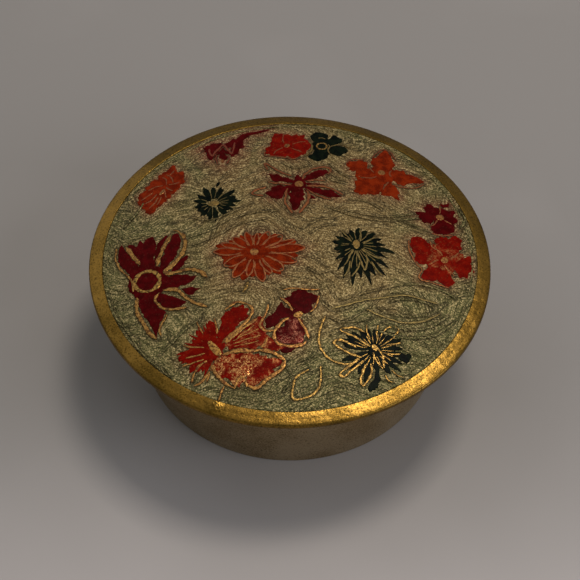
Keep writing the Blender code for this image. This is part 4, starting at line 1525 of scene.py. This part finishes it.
            stroke(0.45, -16.5, -43.2, -16, -41.4, -15.2, -39.6),
            *strokes(0.4, (-25.2, -28.6, -22.6, -29.2, -20.2, -29.3), (-22.2, -22, -21.4, -24, -20.4, -25.9),
                (-18, -21.6, -17.5, -23.6, -17.2, -25.8), (-24.6, -31.9, -22.4, -31.5, -20, -30.9)),
            stroke(0.6, -7, -29.8, -5.9, -28.8, -5.2, -27.2),
            stroke(0.24, -12.4, -27.2, -10.4, -25.4, -8.4, -23.8),
            stroke(0.26, -13.6, -28, -10.6, -26.4, -7.4, -24.8),
            stroke(0.24, -13.4, -28.8, -10.4, -27.6, -6.9, -26.6),
            stroke(0.26, -13, -29.4, -10.2, -28.8, -7.2, -28),
        ),
    ),
    Flower(
        "crimson_pansy", Slot.CRIMSON, (2.1, -20.9), film=0.35, ragged=0.35,
        heart=oval((2, -20.9), 1.2, 0.8, 20),
        patches=(
            cell(-1.2, -16.2, 0.6, -15, 2.1, -13.9, 4.6, -14.5, 6.3, -15.8, 5.8, -17.9, 4.3, -19.7,
                1.8, -19.9, 0.5, -18.4),
            cell(0.5, -20.2, -0.8, -18.4, -1.9, -17.6, -3.6, -19.8, -5.7, -22.3, -5.6, -24.7, -3.2, -24.2,
                -1.2, -21.9),
            cell(1.3, -21.6, 2.9, -23.6, 3.7, -26.4, 2.9, -28.7, -0.4, -29.2, -2.9, -27.9, -3, -25.7,
                -1.1, -23.2, glitter=0.6),
            cell(-2.6, -30, 0.4, -29.9, 2.2, -29.4, 1, -30.6, -1, -31), Patch(circle((0.6, -20.6), 1.5)),
        ),
        lines=(
            stroke(0.6, -2.4, -16.2, -0.4, -17.8, 0.6, -20),
            stroke(0.8, -0.3, -21.9, -2.4, -23.6, -3.8, -26.2, -2.9, -28.7, -0.4, -29.6, 2.8, -29.2,
                3.8, -28.2),
            stroke(0.65, 1.9, -21.9, 3.5, -24.8, 4.5, -27.6),
            stroke(0.6, -5.2, -18, -5.8, -21, -7.1, -23.5, -5.9, -25.4, -3.9, -25.3),
            stroke(0.35, -1.6, -13.8, 1.2, -13.3, 4.4, -13.8, 7.2, -13.6),
            stroke(0.4, 6.9, -15.4, 6.4, -18.2, 4.6, -20.3),
        ),
    ),
    Flower(
        "front_chrysanthemum", Slot.GREEN, (19.8, -30), veil=0.2, gap_width=0.22, ragged=0.25,
        heart=oval((19.9, -29.4), 1, 0.7, -60),
        patches=(
            *narrow(0.74, (172, 7.4), (163, 8.8), (150, 7.4), (139, 7), (124, 6), (108, 6), (84, 5.8),
                (62, 6.4), (44, 6.8), (27, 7.2), (8, 6.6), (-9, 8.6), (-26, 7.2), (-42, 7.8), (-58, 7.2),
                (-84, 6.2), (-106, 9), (-122, 7), (-136, 8.4), (-158, 8.4), form=Form.LEAF, start=1.4),
            Patch(oval((20.2, -30.4), 2.2, 1.6, -70)),
            cell(20.2, -34.4, 20.9, -36.6, 20.8, -39.4, 19.6, -40.4, 18.2, -39.9, 19.4, -37.6),
            cell(25.6, -31.4, 27.6, -30.6, 28.6, -31.8, 27.4, -33, 25.8, -32.4),
        ),
        lines=(
            stroke(0.62, 16.6, -32.2, 13, -30.7, 10.2, -28.5, 12.2, -27.8, 15.6, -29.5),
            *strokes(0.55, (18.8, -29.2, 15, -26.6, 11.8, -24.9, 15, -24.2, 17.8, -25.4),
                (17.2, -32.9, 14.4, -35.6, 12.5, -37.3, 11.8, -36.4, 15, -33.6),
                (18.9, -33.7, 18.9, -36.4, 17.1, -39.4, 16.4, -37.9, 17.9, -33.8)),
            *strokes(0.4, (22.3, -30.6, 24.2, -30.8, 26, -30.8),
                (21, -27.6, 22.4, -24.5, 24.6, -23.2, 25.8, -24.4, 23.6, -27.4)),
            stroke(0.5, 20.2, -28.8, 21.7, -31.4, 22, -34.6),
            *strokes(0.4, (19.6, -30.6, 20.2, -32.8, 21.8, -35), (22.6, -28.6, 24.6, -28.2, 26.2, -27.6)),
            *strokes(0.35, (18.8, -27.2, 18.2, -25.2, 18.2, -23.4), (20.6, -27, 20.6, -25.2, 21, -23.2),
                (22.2, -36.4, 23, -37.8, 24, -38.2), (23.8, -35.2, 25.2, -36.4, 26.4, -36.8)),
        ),
    ),
)

FINE_LINES = {
    "bud_wire": stroke(0.5, 4.5, -35.6, 1.5, -37.6, 0.6, -40.6, 0.9, -43.3, 4.8, -42.3, 6.9, -39.6,
        7.2, -34.8),
    "upper_leaf_wire": stroke(0.5, 10, -19.2, 15, -17.3, 21, -15.6, 28, -14.2, 35.5, -15.9),
    "lower_leaf_wire": stroke(0.45, 18.3, -18.9, 22, -20.7, 27, -22, 32, -21.2, 36, -18.6),
    "stem_wire": stroke(0.5, 8.5, -21.3, 7.1, -25, 6.9, -29, 8.4, -32, 10.7, -33.7, 14, -33.9, 16.2, -32.6),
    "stub_wire": stroke(0.75, -10.2, -11.2, -10.7, -13.4, -11.3, -14.2),
}

# Strokes chased in the ground before it was enamelled.
CHASED_STROKES = (
    stroke(0.5, 9, 13.2, 13, 11.4, 17, 10, 22, 9.2, 27, 9.6, 32, 11),
    *strokes(0.45, (15, 16, 19, 15.6, 21.4, 14.2, 23, 12.8), (14, 12.2, 19, 10.9, 25, 10.6, 31, 12.4)),
    stroke(0.4, 28.5, 9.2, 31.5, 8, 34.5, 6.6), stroke(0.5, 7, -15.8, 8.6, -18.4, 11, -19.6, 16, -18),
    stroke(0.6, 12, -16.6, 18, -14.2, 24, -12, 30, -10.6, 36, -11.4, 40, -13.8),
    stroke(0.7, 21, -18.4, 25, -20, 30, -20, 34, -18.6, 37.6, -15.6),
    *strokes(0.6, (24, -16.2, 28, -15.2, 32, -15.6, 35, -17.4), (22, -22.2, 27, -24, 33, -22.8, 38, -19),
        (20, -24.6, 27, -26.2, 34, -25, 39.6, -20.4), (9.6, -21.6, 12, -22.8, 15.4, -22.4, 19, -21.6)),
    *strokes(0.4, (9, 27.4, 11.4, 24.4, 13.8, 22.6), (10.2, 29.2, 12.6, 26.2, 15, 24),
        (9.4, 24, 11.4, 22.6, 13.8, 22), (-2, 29.6, 1, 27.4, 4.8, 28.4),
        (-25, 3.6, -20, 5.6, -15, 9, -9, 11, -3, 11.6), (-24, 1, -19, 3.2, -13, 7, -6, 9),
        (-28, -28, -25, -24, -21, -21.4), (-30.6, -30.6, -27, -26.4, -23.4, -22.6),
        (-39, -22, -36.4, -27.6, -32.4, -32.4, -28, -36.6), (5, 4, 8, 6.4, 11, 7), (3, 5.4, 7, 8.4, 11, 9),
        (4.4, -7.4, 7, -8.8, 9.6, -8, 12, -10)),
    stroke(0.5, 2.4, -33.4, 4.6, -32.6, 6.4, -30.4),
    *strokes(0.6, (-44.2, -13, -42.1, -18.6, -39.3, -22.6, -35.7, -27.1), (43, 15.4, 44.2, 12.1, 42.8, 9.3)),
    *strokes(0.4, (-24.6, 10.4, -19.6, 9, -14.6, 11.4, -9.4, 14.6), (-41.6, 9, -38.8, 13.4, -37, 17.4),
        (-1.4, -34.2, 0.2, -37.6, -1.6, -41.4)),
)


class PlanBody:
    """Enamel patches drawn in the plan, as closed pillows, ready to be laid on the dome."""

    # Rings of a pillow from its middle to its edge: share of the way out, and drop in millimetres.
    RINGS = ((0.35, 0.0), (0.65, 0.0), (0.85, 0.005), (0.95, 0.015), (1.0, 0.045))
    # Averaging makes the random edge flatter, so it is raised again, but less near the middle.
    STRAY_GAIN = 1.5
    LEAST_REACH = 1.5

    def __init__(self, top: float, depth: float, shine_name: str) -> None:
        """Start without points.

        Args:
            top: Height of the top over the dome, in metres.
            depth: How far the sides run down, in metres.
            shine_name: Name of the attribute that carries each pillow's own value.
        """
        self.top, self.depth, self.shine_name = top, depth, shine_name
        self.points: list[tuple[float, float, float]] = []
        self.faces: list[tuple[int, ...]] = []
        self.shine: list[float] = []

    def add(self, outline: np.ndarray, ragged: float, seed: int, shine: float) -> None:
        """Add one pillow.

        Args:
            outline: Points round it, in millimetres.
            ragged: How far its edge strays, in millimetres.
            seed: Start of its random edge.
            shine: The pillow's own value, 0 to 1.
        """
        area = np.sum(outline[:, 0] * np.roll(outline[:, 1], -1) - outline[:, 1] * np.roll(outline[:, 0], -1))
        outline = outline if area > 0 else outline[::-1]
        middle = outline.mean(axis=0)
        stray = np.random.default_rng(seed).normal(size=len(outline))
        stray = (stray + np.roll(stray, 1) + np.roll(stray, -1)) / 3
        out = outline - middle
        reach = np.maximum(np.linalg.norm(out, axis=1), self.LEAST_REACH)
        out *= 1 + (stray * self.STRAY_GAIN * ragged / reach)[:, None]
        first, count = len(self.points), len(outline)
        self.points.append((*(middle * MM), self.top))
        for share, drop in self.RINGS:
            ring = (middle + out * share) * MM
            self.points += [(x, y, self.top - drop * MM) for x, y in ring]
        self.points += [(x, y, self.top - self.depth) for x, y in (middle + out) * MM]
        self.points.append((*(middle * MM), self.top - self.depth))
        for index in range(count):
            after = (index + 1) % count
            self.faces.append((first, first + 1 + index, first + 1 + after))
            for ring in range(len(self.RINGS)):
                inner, outer = first + 1 + ring * count, first + 1 + (ring + 1) * count
                self.faces.append((inner + index, outer + index, outer + after, inner + after))
            last = first + 1 + len(self.RINGS) * count
            self.faces.append((last + after, last + index, len(self.points) - 1))
        self.shine += [shine] * (len(self.points) - first)

    def mesh(self, name: str) -> bpy.types.Mesh:
        """Make the guide mesh.

        Args:
            name: Its name.

        Returns:
            The mesh, with each pillow's value on its points.
        """
        mesh = bpy.data.meshes.new(name)
        mesh.from_pydata(self.points, [], self.faces)
        carry(mesh, self.shine_name, self.shine)
        return mesh


class PlanLines:
    """Lines drawn in the plan, with their half widths, as the guide of a sweep."""

    # A line's width at its tip, as a share, and how slowly it swells from there, in widths.
    TIP_SHARE = 0.35
    TIP_LENGTH = 1.6

    def __init__(self) -> None:
        """Start without points."""
        self.points: list[tuple[float, float, float]] = []
        self.edges: list[tuple[int, int]] = []
        self.half_widths: list[float] = []

    def add(self, path: np.ndarray, width: float, closed: bool) -> None:
        """Add one line.

        Args:
            path: Points along it, in millimetres.
            width: Its width, in millimetres.
            closed: Whether its ends meet.
        """
        first, count = len(self.points), len(path)
        steps = np.linalg.norm(np.diff(path, axis=0), axis=1)
        travelled = np.concatenate([[0.0], np.cumsum(steps)])
        to_end = np.minimum(travelled, travelled[-1] - travelled)
        swell = self.TIP_SHARE + to_end / (self.TIP_LENGTH * width)
        taper = np.ones(count) if closed else np.clip(swell, 0, 1)
        self.points += [(x * MM, y * MM, 0.0) for x, y in path]
        self.half_widths += list(width / 2 * taper * MM)
        self.edges += [(first + index, first + index + 1) for index in range(count - 1)]
        if closed:
            self.edges.append((first + count - 1, first))

    def mesh(self, name: str) -> bpy.types.Mesh:
        """Make the guide mesh.

        Args:
            name: Its name.

        Returns:
            A mesh of edges, with the half widths on its points.
        """
        mesh = bpy.data.meshes.new(name)
        mesh.from_pydata(self.points, self.edges, [])
        carry(mesh, "half_width", self.half_widths)
        return mesh


@dataclass
class Inlay:
    """The trees that lay enamel and brass lines on the dome, and the heights they keep."""

    dome: Dome
    enamel_top: float = -0.06 * MM
    enamel_depth: float = 0.5 * MM
    line_level: float = -0.035 * MM
    flatness: float = 0.08
    line_step: float = 0.28 * MM
    waver: float = 0.5
    waver_size: float = 1.8
    # How uneven a line's width is: size of the pattern in millimetres, its gain and its loss.
    uneven_size: float = 1.3
    uneven_gain: float = 2.4
    uneven_loss: float = 0.2
    profile_sides: int = 8
    enamel_tree: GeometryTree = field(init=False)
    line_tree: GeometryTree = field(init=False)

    def __post_init__(self) -> None:
        """Make both trees."""
        self.enamel_tree = self.make_enamel_tree()
        self.line_tree = self.make_line_tree()

    def wavered(self, nodes: GeometryTree, geometry: object) -> bpy.types.NodeSocket:
        """Let a drawing waver sideways as a hand does.

        Args:
            nodes: The tree.
            geometry: The socket of the drawing.

        Returns:
            The socket of the wavered drawing.
        """
        reach = nodes.take("Waver")
        slow = nodes.plan.grain(self.waver_size, 1.0, colour=True)
        centred = vector_step(nodes.tree, "SUBTRACT", {0: slow, 1: (0.5, 0.5, 0.5)})
        flat = vector_step(nodes.tree, "MULTIPLY", {0: centred, 1: (1.0, 1.0, 0.0)})
        push = vector_step(nodes.tree, "SCALE", {0: flat, "Scale": reach})
        return nodes.step("GeometryNodeSetPosition", geometry, {"Offset": push})

    def make_enamel_tree(self) -> GeometryTree:
        """Waver the patches and lay them on the dome.

        Returns:
            The tree.
        """
        nodes = GeometryTree("laid_enamel")
        nodes.close(nodes.lay_on_dome(self.wavered(nodes, nodes.geometry)))
        return nodes

    def make_line_tree(self) -> GeometryTree:
        """Sweep a low half-round along each line and lay it on the dome.

        Returns:
            The tree.
        """
        nodes = GeometryTree("laid_line")
        step, flatness, level = (nodes.take(name) for name in ("Step", "Flatness", "Level"))
        geometry = nodes.step("GeometryNodeMeshToCurve", nodes.geometry)
        geometry = nodes.step("GeometryNodeResampleCurve", geometry, {"Length": step}, mode="LENGTH")
        geometry = self.wavered(nodes, geometry)
        half_width = add_node(nodes.tree, "GeometryNodeInputNamedAttribute", {"Name": "half_width"},
                              data_type="FLOAT").outputs["Attribute"]
        uneven = nodes.plan.grain(self.uneven_size, 2.0) * self.uneven_gain - self.uneven_loss
        inputs = {"Resolution": self.profile_sides, "Radius": 1.0}
        profile = add_node(nodes.tree, "GeometryNodeCurvePrimitiveCircle", inputs)
        inputs = {"Profile Curve": profile.outputs[0], "Scale": uneven * half_width, "Fill Caps": True}
        geometry = nodes.step("GeometryNodeCurveToMesh", geometry, inputs)
        lower = nodes.here().axis("Z") * (flatness - 1.0) + level
        offset = add_node(nodes.tree, "ShaderNodeCombineXYZ", {"Z": lower}).outputs[0]
        geometry = nodes.step("GeometryNodeSetPosition", geometry, {"Offset": offset})
        for name in ("film", "veil"):
            inputs = {"Name": name, "Value": nodes.take(name.title())}
            geometry = nodes.step("GeometryNodeStoreNamedAttribute", geometry, inputs, domain="POINT")
        nodes.close(nodes.lay_on_dome(geometry))
        return nodes

    def lay_enamel(self, name: str, slot: Slot, outlines: list[np.ndarray], ragged: float,
                   shine: list[float], shine_name: str = "glitter", raised: float = 0.0) -> bpy.types.Object:
        """Fill outlines with enamel and lay them on the dome.

        Args:
            name: The piece's name.
            slot: The slot whose finish it gets.
            outlines: Points round each patch, in millimetres.
            ragged: How far the edges stray, in millimetres.
            shine: A value for each patch, 0 to 1.
            shine_name: What it says: how much brass glitters through, or how much film or veil lies on it.
            raised: Height to add, in metres.

        Returns:
            The piece.
        """
        body = PlanBody(self.enamel_top + raised, self.enamel_depth, shine_name)
        for index, outline in enumerate(outlines):
            body.add(outline, ragged, len(name) * 100 + index, shine[index])
        values = {**self.dome.inputs(slot), "Waver": self.waver * MM}
        return self.enamel_tree.run(body.mesh(name), name, values)

    def lay_lines(self, name: str, slot: Slot, lines: list[tuple[np.ndarray, float, bool]],
                  **values: float) -> bpy.types.Object:
        """Sweep lines and lay them on the dome.

        Args:
            name: The piece's name.
            slot: The slot whose finish it gets.
            lines: Points along each line, its width and whether it is closed, in millimetres.
            **values: Inputs of the tree that differ from the usual ones.

        Returns:
            The piece.
        """
        guide = PlanLines()
        for path, width, closed in lines:
            guide.add(path, width, closed)
        usual = {**self.dome.inputs(slot), "Waver": self.waver * MM, "Step": self.line_step,
                 "Flatness": self.flatness, "Level": self.line_level, "Film": 0.0, "Veil": 0.0}
        return self.line_tree.run(guide.mesh(name), name, {**usual, **values})


def drawn(line: Line) -> tuple[np.ndarray, float, bool]:
    """A line as points, width and whether it is closed."""
    return smooth_knots(np.array(line.knots, float), line.closed), line.width, line.closed


@dataclass
class InlaidFlower:
    """One flower, built as enamel, brass lines and the brass in its middle."""

    flower: Flower
    inlay: Inlay
    heart_lift: float = 0.03 * MM
    heart_film: float = 0.6
    heart_ragged: float = 0.12
    pupil_ragged: float = 0.1
    gap_start: float = 1.8
    gap_share: float = 0.66

    def build_enamel(self) -> None:
        """Fill the flower's cells."""
        flower = self.flower
        outlines = [patch.outline(flower.middle) for patch in flower.patches]
        glitter = [patch.glitter for patch in flower.patches]
        piece = self.inlay.lay_enamel(f"{flower.name}_petals", flower.slot, outlines, flower.ragged, glitter)
        keep_piece(piece, flower.slot, "lid", f"{flower.name}_enamel")
        if flower.eye:
            outlines = [smooth_knots(np.array(flower.eye, float), closed=True)]
            piece = self.inlay.lay_enamel(f"{flower.name}_pupil", flower.slot, outlines,
                                          self.pupil_ragged, [0.0])
            keep_piece(piece, flower.slot, "lid", f"{flower.name}_eye")

    def build_lines(self) -> None:
        """Draw the flower's brass lines."""
        flower = self.flower
        lines = [drawn(line) for line in flower.lines]
        petals = [patch for patch in flower.patches if isinstance(patch, Petal)]
        for petal, after in zip(petals, petals[1:]) if flower.gap_width else ():
            # Angles jump from -180 to 180 degrees at the left.
            jump = 180 if petal.angle < 0 < after.angle else 0
            angle = math.radians((petal.angle + after.angle) / 2 + jump)
            ends = np.array((self.gap_start, self.gap_share * min(petal.reach, after.reach)))[:, None]
            gap = np.array(flower.middle) + ends * (math.cos(angle), math.sin(angle))
            lines.append((smooth_knots(gap, closed=False), flower.gap_width, False))
        piece = self.inlay.lay_lines(f"{flower.name}_lines", Slot.WIRE, lines, Film=flower.film,
                                     Veil=flower.veil)
        keep_piece(piece, Slot.WIRE, "lid", f"{flower.name}_wires")

    def build_heart(self) -> None:
        """Set the brass ring or stud in the flower's middle."""
        flower = self.flower
        path = smooth_knots(np.array(flower.heart, float), closed=True)
        if flower.ring_width:
            piece = self.inlay.lay_lines(f"{flower.name}_heart", Slot.WIRE, [(path, flower.ring_width, True)])
        else:
            kind, share = ("veil", flower.veil) if flower.veil else ("film", flower.film)
            piece = self.inlay.lay_enamel(f"{flower.name}_heart", Slot.WIRE, [path], self.heart_ragged,
                                          [share * self.heart_film], kind, self.heart_lift)
        keep_piece(piece, Slot.WIRE, "lid", f"{flower.name}_centre")

    def build(self) -> None:
        """Build the flower's pieces."""
        self.build_enamel()
        self.build_lines()
        self.build_heart()


@dataclass
class GroundDrawing:
    """Fine wires let into the ground, and the strokes chased under its enamel."""

    inlay: Inlay
    stroke_level: float = -0.12 * MM
    stroke_flatness: float = 0.6
    leaf_veil: float = 1.0
    stem_veil: float = 0.25
    ring_radius: float = 45.0
    ring_span: tuple[float, float] = (-60.0, 215.0)
    ring_step: float = 2.0
    ring_width: float = 0.4

    def build(self) -> None:
        """Lay the fine wires and the strokes."""
        for node, line in FINE_LINES.items():
            veil = self.leaf_veil if "leaf" in node else self.stem_veil
            piece = self.inlay.lay_lines(f"{node}_line", Slot.WIRE, [drawn(line)], Veil=veil)
            keep_piece(piece, Slot.WIRE, "lid", node)
        chased = [drawn(line) for line in CHASED_STROKES]
        # The thin ring inside the rim, in millimetres and degrees.
        angles = np.radians(np.arange(*self.ring_span, self.ring_step))
        ring = np.stack([np.cos(angles), np.sin(angles)], 1) * self.ring_radius
        chased.append((ring, self.ring_width, False))
        piece = self.inlay.lay_lines("chased_strokes", Slot.GROUND, chased, Level=self.stroke_level,
                                     Flatness=self.stroke_flatness)
        keep_piece(piece, Slot.GROUND, "lid")


@dataclass
class Studio:
    """The table, the soft light and the camera."""

    table_span: float = 3.0
    camera_distance: float = 0.400
    camera_elevation: float = 50.08
    aim_below: float = 1.04
    lens: float = 100.05
    lid_edge_height: float = 31.6 * MM
    aim_height: float = 20.0 * MM

    def build_table(self) -> None:
        """Lay the table."""
        half = self.table_span / 2
        mesh = bpy.data.meshes.new("studio_table")
        corners = [(-half, -half, 0), (half, -half, 0), (half, half, 0), (-half, half, 0)]
        mesh.from_pydata(corners, [], [(0, 1, 2, 3)])
        mesh.materials.append(TableFinish("matt_table_laminate", "#bab5b2", "#8d8a86").make())
        placed("studio_table", mesh)

    def add_lamp(self, name: str, place: tuple[float, float, float], size: float, watts: float,
                 tint: str) -> None:
        """Hang one square soft lamp that faces the box.

        Args:
            name: The lamp's name.
            place: Where it hangs.
            size: Length of its sides.
            watts: Its power.
            tint: Its colour, as hex.
        """
        data = bpy.data.lights.new(name, "AREA")
        data.shape = "SQUARE"
        data.size = size
        data.energy = watts
        data.color = linear(tint)[:3]
        lamp = placed(name, data)
        lamp.location = place
        aim = np.array((0, 0, self.aim_height)) - np.array(place)
        lamp.rotation_mode = "QUATERNION"
        lamp.rotation_quaternion = Vector(aim).to_track_quat("-Z", "Y")

    def build_light(self) -> None:
        """Light the box softly from above and behind, with a plain pale world."""
        self.add_lamp("soft_top_lamp", (0.20, 0.27, 0.95), 0.27, 4.1, "#fff4ea")
        self.add_lamp("soft_side_lamp", (0.95, -0.55, 0.6), 0.8, 5.5, "#f4f4ff")
        self.add_lamp("soft_back_lamp", (-0.65, 0.75, 0.85), 0.9, 1.4, "#f8f6ff")
        world = bpy.data.worlds.new("plain_world")
        world.use_nodes = True
        world.node_tree.nodes["Background"].inputs[0].default_value = linear("#e6e5e4")
        world.node_tree.nodes["Background"].inputs[1].default_value = 0.35
        bpy.context.scene.world = world

    def build_camera(self) -> None:
        """Place the camera as the photograph's ellipses say."""
        data = bpy.data.cameras.new("camera")
        data.lens = self.lens
        data.sensor_width = 36.0
        data.clip_start, data.clip_end = 0.01, 20.0
        camera = placed("camera", data)
        elevation = math.radians(self.camera_elevation)
        camera.location = (0.0, -self.camera_distance * math.cos(elevation),
                           self.lid_edge_height + self.camera_distance * math.sin(elevation))
        camera.rotation_euler = (math.radians(90 - self.camera_elevation - self.aim_below), 0.0, 0.0)
        bpy.context.scene.camera = camera

    def build(self) -> None:
        """Set up the studio."""
        self.build_table()
        self.build_light()
        self.build_camera()
        bpy.context.scene.view_settings.view_transform = "Standard"


def main() -> None:
    """Dress the frame, piece by piece."""
    logging.basicConfig(level=logging.INFO, format="%(name)s: %(message)s")
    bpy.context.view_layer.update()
    low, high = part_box("lid_plate")
    dome = Dome(seat=low.z, radius=high.x)
    Studio().build()
    BrassBase().build()
    BrassLid(dome).build()
    ChasedGround(dome).build()
    inlay = Inlay(dome)
    for flower in FLOWERS:
        InlaidFlower(flower, inlay).build()
    GroundDrawing(inlay).build()


if __name__ == "__main__":
    main()
